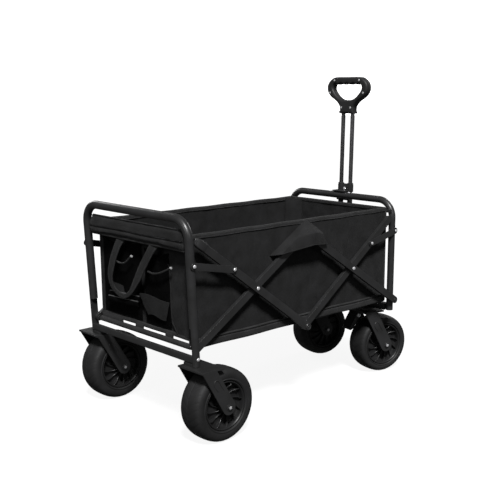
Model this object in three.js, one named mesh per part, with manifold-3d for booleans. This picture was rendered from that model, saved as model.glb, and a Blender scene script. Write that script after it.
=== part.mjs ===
// Folding camp wagon. Millimetres, +X towards the pull handle, +Y to the wagon's left, +Z up.
// The origin is on the ground, at the centre of the wagon's box. Everything is worked out from the sizes below.
import * as THREE from 'three';
import { mergeVertices } from 'three/addons/utils/BufferGeometryUtils.js';
import Module from 'manifold-3d';

const wasm = await Module();
wasm.setup();

// Driving dimensions
const GAP = 0.3;
const LEFT = 1;
const RIGHT = -1;
const SIDES = [[LEFT, 'left'], [RIGHT, 'right']];

// Side scissor, in the side view: both feet, the upper and the lower centre joint
const FOOT_PIVOT_Z = 242.8;
const UPPER_JOINT_Z = 482.2;
const LOWER_JOINT_Z = 231;
const MIDDLE_X = -41;
const HALF_SPAN = 373.9;
const CROSSING = 0.51;
const BAR_HEIGHT = 20;
const BAR_THICKNESS = 10;
const INNER_LAYER = 207.5;
const OUTER_LAYER = 218;
const UPPER_BAR_REAR_REACH = 233.8;
const UPPER_BAR_FRONT_REACH = 205;
const LINK_JOINT_FROM_CROSSING = 102.7;
const LINK_POST_Z = 450.2;
const LINK_HEIGHT = 18;
const LINK_THICKNESS = 3;
const PIN_RADIUS = 3;
const PIN_HOLE_RADIUS = 3.3;
const RIVET_HEAD_RADIUS = 6;
const RIVET_HEAD_HEIGHT = 2.6;
const LINK_RIVET_RADIUS = 5;
const JOINT_BOSS_RADIUS = 7;

// Frames
const TUBE_RADIUS = 11;
const TUBE_WALL = 1.5;
const TUBE_SIDES = 12;
const BEND_RADIUS = 50;
const REAR_FRAME = { topX: -437.7, footX: -421.4, y: 217, topZ: 559.2, footZ: 201 };
const FRONT_FRAME = { topX: 332.9, footX: 332.9, y: 206.7, topZ: 536.9, footZ: 209 };
const FOOT_NOTCH = { top: 297, y: 217.8, reach: 25 };
const REAR_BEAM = { x: -428, width: 10, low: 209, high: 231, halfLength: 217.4 };
const FRONT_BEAM = { x: 331, width: 20, low: 208, high: 228, halfLength: 195.3 };
const FLOOR_TUBE_RADIUS = 6;
const REAR_FLOOR_TUBE = { x: -417, z: 243, halfLength: 198 };
const FRONT_FLOOR_TUBE = { x: 312, z: 234, halfLength: 188 };

// Wheels and forks
const WHEEL_SIDES = 24;
const REAR_WHEEL = { radius: 95, width: 72, x: -361.14, y: 223 };
const FRONT_WHEEL = { radius: 88, width: 71 };
const RIM_SIDES = 20;
const RIM_OUTER_RADIUS = 63;
const RIM_SHELL = 5;
const HUB_RADIUS = 17;
const WEB_HALF_THICKNESS = 12;
const AXLE_RADIUS = 6;
const BOLT_HEAD = { radius: 9, height: 5 };
const FORK_PLATE_LOW = 195.5;
const FORK_PLATE_HIGH = 200;
const FORK_HALF_WIDTH = 47;
const FORK_SHEET = 4;
const FORK_EYE_RADIUS = 20;
const FORK_PLATE_REAR = -84;
const FORK_PLATE_FRONT = -14;
const FORK_LEG_TOP = [-82.5, -38.5];
const REAR_RISER = { inner: 184, outer: 216, halfWidth: 11 };
const CASTER = { stemX: 311.8, stemY: 123, trail: 57, yaw: -12.8 * Math.PI / 180 };
const STEM_RADIUS = 15;
const CASTER_PLATE = { low: 204, reach: 24, halfWidth: 28 };
const PEDAL = { pivotX: -34, pivotZ: 189, halfWidth: 21 };
// The pedal's outline, from its pivot
const PEDAL_OUTLINE = [[4, 4], [-4, 5], [-32, -39], [-28, -44], [-17, -40], [4, -6]];

// Pull handle
const HANDLE = { pivotX: 352, pivotZ: 218, lean: 1.3 * Math.PI / 180, halfSpacing: 18.5 };
const ROD_RADIUS = 6.25;
const SLEEVE_BORE = 6.7;
const SLEEVE_RADIUS = 8;
const COLLAR = { low: 322, high: 353, halfWidth: 26.5, halfDepth: 8.5, corner: 5 };
const YOKE = { low: 560, halfWidth: 29, halfDepth: 8, corner: 3 };
const ROD_LOW = 228;
const GRIP_LOW = 569;
const GRIP_HIGH = 674;
const GRIP_HALF_WIDTH = 83.5;
const GRIP_SHELL = 12.5;
const GRIP_NECK = 30;
const GRIP_HOLE = { low: 606, high: 654, halfWidth: 61, lowHalfWidth: 34, topHalfWidth: 45, shoulder: 16 };
const HINGE_BARREL = { radius: 7.3, halfLength: 28.3 };
const HINGE_PIN = { radius: 4, headRadius: 7, shank: 33.5, halfLength: 37 };
const HINGE_BRACKET = {
  low: 206, high: 229, halfWidth: 36, sheet: 2.4, earInner: 29, earOuter: 33, earLow: 208,
};
const CLIP = { halfWidth: 24, sheet: 4, drop: 28, back: 9 };

// Fabric
const CLOTH = 4;
const BASKET = {
  rear: -411, front: 317, y: 191, low: 241, high: 517, rearLow: 263, floorLow: 259, floorHigh: 267,
};
const FLAP = { low: 483, high: 532, point: 508, tip: 200, shoulder: 184, back: -444.5, front: -433.5 };
const POCKET_DEPTH = 12;
const LEFT_POCKET = { low: 8, high: 176, bottom: 345, top: 478 };
const RIGHT_POCKET = { low: -176, high: -16, bottom: 316, top: 478 };
const CARRY_LOOP = { back: -443.5, thickness: 4, width: 25 };
// Middle line of the carrying strap, as y and z from its left end down and up to its right end
const CARRY_LOOP_LINE = [
  [66, 470], [88, 440], [107, 405], [113, 375], [103, 345], [76, 330],
  [45, 328], [18, 342], [-10, 374], [-40, 418], [-76, 470],
];

// Materials
const material = (color, roughness, metalness) => new THREE.MeshStandardMaterial({ color, roughness, metalness });
const COAT = material(0x1c1c1e, 0.45, 0.4);
const PLASTIC = material(0x141415, 0.55, 0);
const RUBBER = material(0x1f1f20, 0.85, 0);
const STEEL = material(0xb9bbbe, 0.3, 0.95);
const ROD_STEEL = material(0x48494c, 0.35, 0.8);
const CANVAS = material(0x232325, 0.95, 0);

const wagon = new THREE.Group();

function piece(name, geometry, look) {
  const mesh = new THREE.Mesh(geometry, look.clone());
  mesh.name = name;
  wagon.add(mesh);
}

// Solids: a geometry becomes a manifold-3d solid for cuts and joins, and comes back as a geometry
function solid(geometry) {
  const bare = geometry.clone();
  bare.deleteAttribute('normal');
  bare.deleteAttribute('uv');
  const merged = mergeVertices(bare, 1e-4);
  return new wasm.Manifold(new wasm.Mesh({
    numProp: 3,
    vertProperties: Float32Array.from(merged.attributes.position.array),
    triVerts: Uint32Array.from(merged.index.array),
  }));
}

function geometryOf(body) {
  const mesh = body.getMesh();
  const geometry = new THREE.BufferGeometry();
  geometry.setAttribute('position', new THREE.BufferAttribute(mesh.vertProperties, 3));
  geometry.setIndex(new THREE.BufferAttribute(mesh.triVerts, 1));
  return geometry;
}

function join(geometries) {
  return geometryOf(geometries.map(solid).reduce((whole, part) => whole.add(part)));
}

function cut(geometry, tools) {
  return geometryOf(tools.map(solid).reduce((whole, tool) => whole.subtract(tool), solid(geometry)));
}

// Basic shapes, each given by its lowest and highest corner or by its axis
function block(low, high) {
  const size = high.map((value, i) => value - low[i]);
  const centre = high.map((value, i) => (value + low[i]) / 2);
  return new THREE.BoxGeometry(...size).translate(...centre);
}

function cylinderAlongY(x, z, radius, low, high, sides = 12) {
  return new THREE.CylinderGeometry(radius, radius, high - low, sides).translate(x, (low + high) / 2, z);
}

function cylinderAlongZ(x, y, radius, low, high, sides = 16) {
  return new THREE.CylinderGeometry(radius, radius, high - low, sides)
    .rotateX(Math.PI / 2).translate(x, y, (low + high) / 2);
}

// A side-view outline (x to the front, y up) pulled out sideways between two |y| levels of one side
function sidePlate(shape, side, inner, outer, segments = 6) {
  const geometry = new THREE.ExtrudeGeometry(shape, {
    depth: outer - inner, bevelEnabled: false, curveSegments: segments,
  });
  return geometry.rotateX(Math.PI / 2).translate(0, side > 0 ? outer : -inner, 0);
}

function circle(radius, x = 0, sides = TUBE_SIDES) {
  return Array.from({ length: sides }, (_, i) => {
    const angle = 2 * Math.PI * i / sides;
    return new THREE.Vector2(x + radius * Math.cos(angle), radius * Math.sin(angle));
  });
}

// A flat bar with round ends from (0, 0) to (length, 0), reaching back by tail, with pin holes along it
function barShape(length, tail, height, holes) {
  const half = height / 2;
  const shape = new THREE.Shape();
  shape.absarc(-tail, 0, half, Math.PI / 2, 1.5 * Math.PI, false);
  shape.absarc(length, 0, half, -Math.PI / 2, Math.PI / 2, false);
  for (const at of holes) shape.holes.push(new THREE.Path(circle(PIN_HOLE_RADIUS, at)));
  return shape;
}

// A tube's route as straight runs and arcs, with the section set square to it at every station
class Route extends THREE.Curve {
  constructor(stations) {
    super();
    this.stations = stations;
  }

  getPoint(t) {
    const last = this.stations.length - 1;
    const index = Math.min(Math.floor(t * last + 1e-9), last - 1);
    return this.stations[index].clone().lerp(this.stations[index + 1], t * last - index);
  }

  getPointAt(t) {
    return this.getPoint(t);
  }

  getTangentAt(t) {
    const last = this.stations.length - 1;
    const index = Math.round(t * last);
    const here = this.stations[index];
    const before = this.stations[Math.max(index - 1, 0)];
    const after = this.stations[Math.min(index + 1, last)];
    const tangent = new THREE.Vector3();
    if (index > 0) tangent.add(here.clone().sub(before).normalize());
    if (index < last) tangent.add(after.clone().sub(here).normalize());
    return tangent.normalize();
  }
}

// An upside-down U tube in the plane through its two feet and its top
function frameTube(size, steps = 5) {
  const lean = (z) => size.footX + (size.topX - size.footX) * (z - size.footZ) / (size.topZ - size.footZ);
  const point = (y, z) => new THREE.Vector3(lean(z), y, z);
  const corner = size.y - BEND_RADIUS;
  const below = size.topZ - BEND_RADIUS;
  const half = [point(size.y, size.footZ)];
  for (let i = 0; i <= steps; i += 1) {
    const angle = (i / steps) * Math.PI / 2;
    half.push(point(corner + BEND_RADIUS * Math.cos(angle), below + BEND_RADIUS * Math.sin(angle)));
  }
  const mirrored = half.map((p) => new THREE.Vector3(p.x, -p.y, p.z)).reverse();
  const stations = [...half, ...mirrored];
  const section = new THREE.Shape(circle(TUBE_RADIUS));
  section.holes.push(new THREE.Path(circle(TUBE_RADIUS - TUBE_WALL)));
  return new THREE.ExtrudeGeometry(section, {
    extrudePath: new Route(stations), steps: stations.length - 1, bevelEnabled: false,
  });
}

// A closed ring or wheel turned about the Y axis, with a flat of its polygon at the bottom
function turned(profile, sides) {
  const stretch = 1 / Math.cos(Math.PI / sides);
  const points = profile.map(([radius, y]) => new THREE.Vector2(radius * stretch, y)).reverse();
  return new THREE.LatheGeometry([...points, points[0]], sides, Math.PI / sides);
}

function mirrorProfile(half) {
  return [...half, ...half.map(([radius, y]) => [radius, -y]).reverse()];
}

function tyre(wheel) {
  const half = wheel.width / 2;
  const r = wheel.radius;
  const bead = RIM_OUTER_RADIUS + GAP + 0.5;
  return turned(mirrorProfile([
    [bead, half - 3], [bead + 6, half], [r - 11, half - 1], [r - 3, half - 9], [r, half - 26],
  ]), WHEEL_SIDES);
}

function rim(wheel) {
  const half = wheel.width / 2;
  const bore = AXLE_RADIUS + 0.5;
  const barrel = RIM_OUTER_RADIUS - RIM_SHELL;
  return turned(mirrorProfile([
    [bore, half], [HUB_RADIUS, half], [HUB_RADIUS, WEB_HALF_THICKNESS], [barrel - 1, RIM_SHELL], [barrel, half - 3],
    [RIM_OUTER_RADIUS, half - 3],
  ]), RIM_SIDES);
}

function axleBolt() {
  const face = FORK_HALF_WIDTH + GAP;
  const end = face + BOLT_HEAD.height;
  const head = BOLT_HEAD.radius;
  return new THREE.LatheGeometry([
    [0, -end], [head, -end], [head, -face], [AXLE_RADIUS, -face],
    [AXLE_RADIUS, face], [head, face], [head, end], [0, end],
  ].map(([radius, y]) => new THREE.Vector2(radius, y)), 12);
}

// A wheel fork about its own axle at (0, 0): plate on top, and a leg at each side with an eye for the axle bolt
function forkLeg(axleZ, side) {
  const top = FORK_PLATE_HIGH - 2 - axleZ;
  const reach = (x, turn) => {
    const distance = Math.hypot(x, top);
    return Math.atan2(top, x) + turn * Math.acos(FORK_EYE_RADIUS / distance);
  };
  const shape = new THREE.Shape();
  shape.moveTo(FORK_LEG_TOP[0], top);
  shape.lineTo(FORK_LEG_TOP[1], top);
  shape.absarc(0, 0, FORK_EYE_RADIUS, reach(FORK_LEG_TOP[1], -1), reach(FORK_LEG_TOP[0], 1) - 2 * Math.PI, true);
  shape.holes.push(new THREE.Path(circle(AXLE_RADIUS + GAP)));
  return sidePlate(shape, side, FORK_HALF_WIDTH - FORK_SHEET, FORK_HALF_WIDTH, 5).translate(0, 0, axleZ);
}

function fork(axleZ, extras) {
  const plate = block(
    [FORK_PLATE_REAR, -FORK_HALF_WIDTH, FORK_PLATE_LOW],
    [FORK_PLATE_FRONT, FORK_HALF_WIDTH, FORK_PLATE_HIGH],
  );
  return join([plate, forkLeg(axleZ, LEFT), forkLeg(axleZ, RIGHT), ...extras]);
}

// Rear end
function floorTube(name, size) {
  const tube = cylinderAlongY(size.x, size.z, FLOOR_TUBE_RADIUS, -size.halfLength, size.halfLength, 10);
  piece(name, tube, COAT);
}

// The two |y| levels of one side, in order along Y
function span(side, inner, outer) {
  return [side * inner, side * outer].sort((a, b) => a - b);
}

function rearEnd() {
  const notch = (side) => {
    const [low, high] = span(side, FOOT_NOTCH.y - FOOT_NOTCH.reach, FOOT_NOTCH.y);
    return block(
      [REAR_FRAME.footX - FOOT_NOTCH.reach, low, REAR_FRAME.footZ - 5],
      [REAR_FRAME.footX + FOOT_NOTCH.reach, high, FOOT_NOTCH.top],
    );
  };
  piece('rear_frame', cut(frameTube(REAR_FRAME), [notch(LEFT), notch(RIGHT)]), COAT);
  const beam = REAR_BEAM;
  const half = beam.width / 2;
  piece('rear_beam', block(
    [beam.x - half, -beam.halfLength, beam.low], [beam.x + half, beam.halfLength, beam.high],
  ), COAT);
  floorTube('rear_floor_tube', REAR_FLOOR_TUBE);
  for (const [side, label] of SIDES) {
    const wheel = REAR_WHEEL;
    const [low, high] = span(side, REAR_RISER.inner - wheel.y, REAR_RISER.outer - wheel.y);
    const riserX = REAR_BEAM.x + REAR_RISER.halfWidth - half - wheel.x;
    const riser = block(
      [riserX - REAR_RISER.halfWidth, low, FORK_PLATE_HIGH - 1],
      [riserX + REAR_RISER.halfWidth, high, beam.low - GAP],
    );
    const place = (geometry) => geometry.translate(wheel.x, side * wheel.y, 0);
    piece(`rear_fork_${label}`, place(fork(wheel.radius, [riser])), COAT);
    piece(`rear_tyre_${label}`, place(tyre(wheel).translate(0, 0, wheel.radius)), RUBBER);
    piece(`rear_rim_${label}`, place(rim(wheel).translate(0, 0, wheel.radius)), PLASTIC);
    piece(`rear_axle_bolt_${label}`, place(axleBolt().translate(0, 0, wheel.radius)), STEEL);
  }
}

// Front end
function brakePedal() {
  const outline = PEDAL_OUTLINE.map(([x, z]) => new THREE.Vector2(PEDAL.pivotX + x, PEDAL.pivotZ + z));
  return sidePlate(new THREE.Shape(outline), LEFT, -PEDAL.halfWidth, PEDAL.halfWidth);
}

function frontEnd() {
  piece('front_frame', frameTube(FRONT_FRAME), COAT);
  const beam = FRONT_BEAM;
  const half = beam.width / 2;
  const bar = block([beam.x - half, -beam.halfLength, beam.low], [beam.x + half, beam.halfLength, beam.high]);
  const plates = SIDES.map(([side]) => block(
    [CASTER.stemX - CASTER_PLATE.reach, side * CASTER.stemY - CASTER_PLATE.halfWidth, CASTER_PLATE.low],
    [beam.x + half, side * CASTER.stemY + CASTER_PLATE.halfWidth, beam.low + 1],
  ));
  piece('front_beam', join([bar, ...plates]), COAT);
  floorTube('front_floor_tube', FRONT_FLOOR_TUBE);
  for (const [side, label] of SIDES) {
    const wheel = FRONT_WHEEL;
    const place = (geometry) => geometry.rotateZ(CASTER.yaw).translate(CASTER.stemX, side * CASTER.stemY, 0);
    const onAxle = (geometry) => place(geometry.translate(CASTER.trail, 0, 0));
    const stem = cylinderAlongZ(-CASTER.trail, 0, STEM_RADIUS, FORK_PLATE_HIGH - 1, CASTER_PLATE.low - GAP);
    piece(`front_fork_${label}`, onAxle(fork(wheel.radius, [stem])), COAT);
    piece(`front_tyre_${label}`, onAxle(tyre(wheel).translate(0, 0, wheel.radius)), RUBBER);
    piece(`front_rim_${label}`, onAxle(rim(wheel).translate(0, 0, wheel.radius)), PLASTIC);
    piece(`front_axle_bolt_${label}`, onAxle(axleBolt().translate(0, 0, wheel.radius)), STEEL);
    piece(`brake_pedal_${label}`, place(brakePedal()), PLASTIC);
  }
}

// Scissor sides, drawn from their rest pose
const feetRun = HALF_SPAN * CROSSING;
const feetRise = (UPPER_JOINT_Z - FOOT_PIVOT_Z) * CROSSING;
const crossZ = FOOT_PIVOT_Z + feetRise;
const lowerBarLength = Math.hypot(HALF_SPAN, UPPER_JOINT_Z - FOOT_PIVOT_Z);
const lowerBarCrossing = Math.hypot(feetRun, feetRise);
const lowerBarAngle = Math.atan2(UPPER_JOINT_Z - FOOT_PIVOT_Z, HALF_SPAN);
const crossRun = HALF_SPAN - feetRun;
const upperBarAngle = Math.atan2(crossZ - LOWER_JOINT_Z, crossRun);
const upperBarCrossing = Math.hypot(crossRun, crossZ - LOWER_JOINT_Z);

// Rear half uses end = -1 and front half end = +1. A bar starts at (x, z) and rises at the angle given.
function placeBar(shape, side, inner, thickness, x, z, angle, end) {
  const geometry = sidePlate(shape, side, inner, inner + thickness);
  geometry.rotateY(end > 0 ? -angle : angle - Math.PI);
  return geometry.translate(x, 0, z);
}

function disc(side, x, z, radius, inner, outer) {
  const [low, high] = span(side, inner, outer);
  return cylinderAlongY(x, z, radius, low, high, 12);
}

function scissorSide(side, label) {
  for (const [end, word] of [[-1, 'rear'], [1, 'front']]) {
    const footX = MIDDLE_X + end * HALF_SPAN;
    const crossX = MIDDLE_X + end * crossRun;
    const lowerLayer = end < 0 ? INNER_LAYER : OUTER_LAYER;
    const upperLayer = end < 0 ? OUTER_LAYER : INNER_LAYER;
    const outerFace = OUTER_LAYER + BAR_THICKNESS;

    // Lower bar: from the foot up to the upper centre joint
    const lower = barShape(lowerBarLength, 0, BAR_HEIGHT, [lowerBarCrossing, lowerBarLength]);
    const lowerBar = placeBar(lower, side, lowerLayer, BAR_THICKNESS, footX, FOOT_PIVOT_Z, lowerBarAngle, -end);
    const footHead = end < 0
      ? disc(side, footX, FOOT_PIVOT_Z, RIVET_HEAD_RADIUS, INNER_LAYER - RIVET_HEAD_HEIGHT, INNER_LAYER + 1)
      : disc(side, footX, FOOT_PIVOT_Z, RIVET_HEAD_RADIUS, outerFace - 1, outerFace + RIVET_HEAD_HEIGHT);
    piece(`${word}_lower_bar_${label}`, join([lowerBar, footHead]), COAT);

    // Upper bar: from the lower centre joint up past the crossing to the post
    const reach = end < 0 ? UPPER_BAR_REAR_REACH : UPPER_BAR_FRONT_REACH;
    const upper = barShape(upperBarCrossing + reach, 0, BAR_HEIGHT, [upperBarCrossing]);
    const upperBar = placeBar(upper, side, upperLayer, BAR_THICKNESS, MIDDLE_X, LOWER_JOINT_Z, upperBarAngle, end);
    const boss = end < 0
      ? disc(side, MIDDLE_X, LOWER_JOINT_Z, JOINT_BOSS_RADIUS, outerFace - 1, outerFace + RIVET_HEAD_HEIGHT)
      : disc(side, MIDDLE_X, LOWER_JOINT_Z, JOINT_BOSS_RADIUS, INNER_LAYER - RIVET_HEAD_HEIGHT, INNER_LAYER + 1);
    piece(`${word}_upper_bar_${label}`, join([upperBar, boss]), COAT);

    // Pin where the two bars cross
    const pin = (x, z) => join([
      disc(side, x, z, PIN_RADIUS, INNER_LAYER - 2, outerFace + 2),
      disc(side, x, z, RIVET_HEAD_RADIUS, INNER_LAYER - GAP - RIVET_HEAD_HEIGHT, INNER_LAYER - GAP),
      disc(side, x, z, RIVET_HEAD_RADIUS, outerFace + GAP, outerFace + GAP + RIVET_HEAD_HEIGHT),
    ]);
    piece(`${word}_crossing_pin_${label}`, pin(crossX, crossZ), STEEL);
    if (end < 0) piece(`upper_joint_pin_${label}`, pin(MIDDLE_X, UPPER_JOINT_Z), STEEL);

    // Link between the post and the upper bar
    const frame = end < 0 ? REAR_FRAME : FRONT_FRAME;
    const rise = (LINK_POST_Z - frame.footZ) / (frame.topZ - frame.footZ);
    const postX = frame.footX + (frame.topX - frame.footX) * rise;
    const jointX = crossX + end * LINK_JOINT_FROM_CROSSING * Math.cos(upperBarAngle);
    const jointZ = crossZ + LINK_JOINT_FROM_CROSSING * Math.sin(upperBarAngle);
    const linkInner = end < 0 ? outerFace + GAP : INNER_LAYER + BAR_THICKNESS + GAP + 0.2;
    const linkOuter = linkInner + LINK_THICKNESS;
    const linkShape = barShape(Math.hypot(jointX - postX, jointZ - LINK_POST_Z), 0, LINK_HEIGHT, []);
    const linkAngle = Math.atan2(jointZ - LINK_POST_Z, Math.abs(jointX - postX));
    const link = placeBar(linkShape, side, linkInner, LINK_THICKNESS, postX, LINK_POST_Z, linkAngle, -end);
    piece(`${word}_link_${label}`, join([
      link,
      disc(side, postX, LINK_POST_Z, LINK_RIVET_RADIUS, linkOuter - 1, linkOuter + RIVET_HEAD_HEIGHT),
      disc(side, jointX, jointZ, LINK_RIVET_RADIUS, linkOuter - 1, linkOuter + RIVET_HEAD_HEIGHT),
    ]), COAT);
  }
}

// Pull handle, drawn upright about its hinge and then leaned
function roundedBlock(width, low, high, radius) {
  const shape = new THREE.Shape();
  shape.absarc(width - radius, high - radius, radius, 0, Math.PI / 2, false);
  shape.absarc(radius - width, high - radius, radius, Math.PI / 2, Math.PI, false);
  shape.absarc(radius - width, low + radius, radius, Math.PI, 1.5 * Math.PI, false);
  shape.absarc(width - radius, low + radius, radius, 1.5 * Math.PI, 2 * Math.PI, false);
  return shape;
}

// A front-view outline (x to the side, y up) with a depth between two x levels
function frontPlate(shape, low, high, segments = 6) {
  return new THREE.ExtrudeGeometry(shape, { depth: high - low, bevelEnabled: false, curveSegments: segments })
    .rotateX(Math.PI / 2).rotateZ(Math.PI / 2).translate(low, 0, 0);
}

function gripShape() {
  const wide = GRIP_HALF_WIDTH;
  const low = GRIP_LOW;
  const neck = GRIP_NECK;
  const shape = new THREE.Shape();
  shape.moveTo(neck, low);
  shape.lineTo(neck, low + 8);
  shape.quadraticCurveTo(neck + 4, low + 20, wide - 12, low + 40);
  shape.quadraticCurveTo(wide, low + 50, wide, low + 66);
  shape.quadraticCurveTo(wide, GRIP_HIGH - 3, wide - 26, GRIP_HIGH);
  shape.lineTo(26 - wide, GRIP_HIGH);
  shape.quadraticCurveTo(-wide, GRIP_HIGH - 3, -wide, low + 66);
  shape.quadraticCurveTo(-wide, low + 50, 12 - wide, low + 40);
  shape.quadraticCurveTo(-neck - 4, low + 20, -neck, low + 8);
  shape.lineTo(-neck, low);
  const hole = new THREE.Path();
  const h = GRIP_HOLE;
  hole.moveTo(-h.lowHalfWidth, h.low);
  hole.quadraticCurveTo(-h.halfWidth, h.low + 14, -h.halfWidth, h.high - h.shoulder);
  hole.quadraticCurveTo(-h.halfWidth, h.high, -h.topHalfWidth, h.high);
  hole.lineTo(h.topHalfWidth, h.high);
  hole.quadraticCurveTo(h.halfWidth, h.high, h.halfWidth, h.high - h.shoulder);
  hole.quadraticCurveTo(h.halfWidth, h.low + 14, h.lowHalfWidth, h.low);
  shape.holes.push(hole);
  return shape;
}

function pullHandle() {
  const lean = (geometry) => geometry.rotateY(HANDLE.lean).translate(HANDLE.pivotX, 0, HANDLE.pivotZ);
  const tube = (y, radius, low, high) => cylinderAlongZ(0, y, radius, low, high, 12);
  const spots = [HANDLE.halfSpacing, -HANDLE.halfSpacing];

  const bracket = HINGE_BRACKET;
  const plateX = FRONT_BEAM.x + FRONT_BEAM.width / 2 + GAP;
  const ear = (side) => {
    const [low, high] = span(side, bracket.earInner, bracket.earOuter);
    return block([plateX + 1, low, bracket.earLow], [HANDLE.pivotX + 9, high, bracket.high]);
  };
  const plate = block(
    [plateX, -bracket.halfWidth, bracket.low], [plateX + bracket.sheet, bracket.halfWidth, bracket.high],
  );
  const pinHole = cylinderAlongY(HANDLE.pivotX, HANDLE.pivotZ, HINGE_PIN.radius + GAP, -50, 50);
  piece('handle_hinge_bracket', cut(join([plate, ear(LEFT), ear(RIGHT)]), [pinHole]), COAT);
  const pin = HINGE_PIN;
  piece('handle_hinge_pin', new THREE.LatheGeometry([
    [0, -pin.halfLength], [pin.headRadius, -pin.halfLength], [pin.headRadius, -pin.shank], [pin.radius, -pin.shank],
    [pin.radius, pin.shank], [pin.headRadius, pin.shank], [pin.headRadius, pin.halfLength], [0, pin.halfLength],
  ].map(([radius, y]) => new THREE.Vector2(radius, y)), 12).translate(HANDLE.pivotX, 0, HANDLE.pivotZ), STEEL);

  const collarOutline = roundedBlock(COLLAR.halfWidth, COLLAR.low, COLLAR.high, COLLAR.corner);
  const sleeve = join([
    cylinderAlongY(0, 0, HINGE_BARREL.radius, -HINGE_BARREL.halfLength, HINGE_BARREL.halfLength),
    ...spots.map((y) => tube(y, SLEEVE_RADIUS, 0, COLLAR.high - 2)),
    frontPlate(collarOutline, -COLLAR.halfDepth, COLLAR.halfDepth, 3),
  ]);
  piece('handle_sleeve', lean(cut(sleeve, [
    cylinderAlongY(0, 0, HINGE_PIN.radius + GAP, -50, 50),
    ...spots.map((y) => tube(y, SLEEVE_BORE, HINGE_BARREL.radius + 2, COLLAR.high + 5)),
  ])), COAT);

  const yokeOutline = roundedBlock(YOKE.halfWidth, YOKE.low, GRIP_LOW - GAP, YOKE.corner);
  const yoke = frontPlate(yokeOutline, -YOKE.halfDepth, YOKE.halfDepth, 3);
  const rods = spots.map((y) => tube(y, ROD_RADIUS, ROD_LOW, YOKE.low + 5));
  piece('handle_rods', lean(join([...rods, yoke])), ROD_STEEL);
  piece('handle_grip_front', lean(frontPlate(gripShape(), GAP / 2, GRIP_SHELL, 4)), PLASTIC);
  piece('handle_grip_back', lean(frontPlate(gripShape(), -GRIP_SHELL, -GAP / 2, 4)), PLASTIC);

  const railTop = FRONT_FRAME.topZ + TUBE_RADIUS + GAP;
  const railFront = FRONT_FRAME.topX + TUBE_RADIUS + GAP;
  const clip = CLIP;
  piece('handle_clip', join([
    block(
      [FRONT_FRAME.topX - clip.back, -clip.halfWidth, railTop],
      [railFront + clip.sheet, clip.halfWidth, railTop + 3.5],
    ),
    block([railFront, -clip.halfWidth, railTop - clip.drop], [railFront + clip.sheet, clip.halfWidth, railTop + 1]),
  ]), PLASTIC);
}

// The outline of a flat strap laid along a line of points
function strapShape(line, width) {
  const along = (i) => {
    const before = line[Math.max(i - 1, 0)];
    const after = line[Math.min(i + 1, line.length - 1)];
    return new THREE.Vector2(after[0] - before[0], after[1] - before[1]).normalize();
  };
  const edge = (side) => line.map(([y, z], i) => {
    const direction = along(i);
    const half = side * width / 2;
    return new THREE.Vector2(y - direction.y * half, z + direction.x * half);
  });
  return new THREE.Shape([...edge(1), ...edge(-1).reverse()]);
}

// Fabric, as plain closed panels; the side walls carry the flap over the upper centre joint
function basket() {
  const b = BASKET;
  const inside = [b.rear + CLOTH + GAP, b.front - CLOTH - GAP];
  for (const [side, label] of SIDES) {
    const y = span(side, b.y, b.y + CLOTH);
    piece(`side_wall_${label}`, block([inside[0], y[0], b.low], [inside[1], y[1], b.high]), CANVAS);
  }
  const width = b.y + CLOTH;
  piece('rear_wall', block([b.rear, -width, b.rearLow], [b.rear + CLOTH, width, b.high]), CANVAS);
  piece('front_wall', block([b.front - CLOTH, -width, b.low + 1], [b.front, width, b.high]), CANVAS);
  piece('floor', block([inside[0], -b.y + GAP, b.floorLow], [inside[1], b.y - GAP, b.floorHigh]), CANVAS);

  const flapOutline = new THREE.Shape([
    [-FLAP.tip, FLAP.point], [-FLAP.shoulder, FLAP.low], [FLAP.shoulder, FLAP.low],
    [FLAP.tip, FLAP.point], [FLAP.shoulder, FLAP.high], [-FLAP.shoulder, FLAP.high],
  ].map(([y, z]) => new THREE.Vector2(y, z)));
  piece('rear_flap', frontPlate(flapOutline, FLAP.back, FLAP.front), CANVAS);

  const pocketFront = b.rear - 1;
  const pocket = (size) => block(
    [pocketFront - POCKET_DEPTH, size.low, size.bottom], [pocketFront, size.high, size.top],
  );
  piece('rear_pocket_left', pocket(LEFT_POCKET), CANVAS);
  piece('rear_pocket_right', pocket(RIGHT_POCKET), CANVAS);
  const loop = CARRY_LOOP;
  piece('carry_loop', frontPlate(strapShape(CARRY_LOOP_LINE, loop.width), loop.back, loop.back + loop.thickness), CANVAS);
}

rearEnd();
frontEnd();
for (const [side, label] of SIDES) scissorSide(side, label);
pullHandle();
basket();

export default wagon;
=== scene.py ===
"""Folding camp wagon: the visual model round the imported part.

The frame is in metres; sizes in this file are in millimetres unless they say metres.
"""

import math

import bmesh
import bpy
import numpy as np
from mathutils import Matrix, Vector


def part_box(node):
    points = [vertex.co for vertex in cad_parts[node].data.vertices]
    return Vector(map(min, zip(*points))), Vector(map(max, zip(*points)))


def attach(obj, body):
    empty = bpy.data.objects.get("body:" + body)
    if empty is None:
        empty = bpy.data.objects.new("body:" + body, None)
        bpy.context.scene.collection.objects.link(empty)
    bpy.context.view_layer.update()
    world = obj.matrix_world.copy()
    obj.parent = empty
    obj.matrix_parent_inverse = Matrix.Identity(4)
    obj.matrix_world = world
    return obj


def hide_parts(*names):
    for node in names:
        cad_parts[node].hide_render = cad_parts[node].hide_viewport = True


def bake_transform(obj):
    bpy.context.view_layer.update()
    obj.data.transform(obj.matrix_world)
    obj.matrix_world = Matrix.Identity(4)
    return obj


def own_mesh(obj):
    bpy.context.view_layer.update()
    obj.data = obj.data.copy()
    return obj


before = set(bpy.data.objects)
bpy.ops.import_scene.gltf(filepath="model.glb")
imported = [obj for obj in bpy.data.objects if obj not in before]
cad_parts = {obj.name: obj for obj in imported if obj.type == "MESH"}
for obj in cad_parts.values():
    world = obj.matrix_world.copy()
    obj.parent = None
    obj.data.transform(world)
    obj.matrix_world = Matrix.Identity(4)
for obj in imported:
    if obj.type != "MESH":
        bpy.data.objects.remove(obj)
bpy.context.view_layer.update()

MM = 0.001
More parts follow.
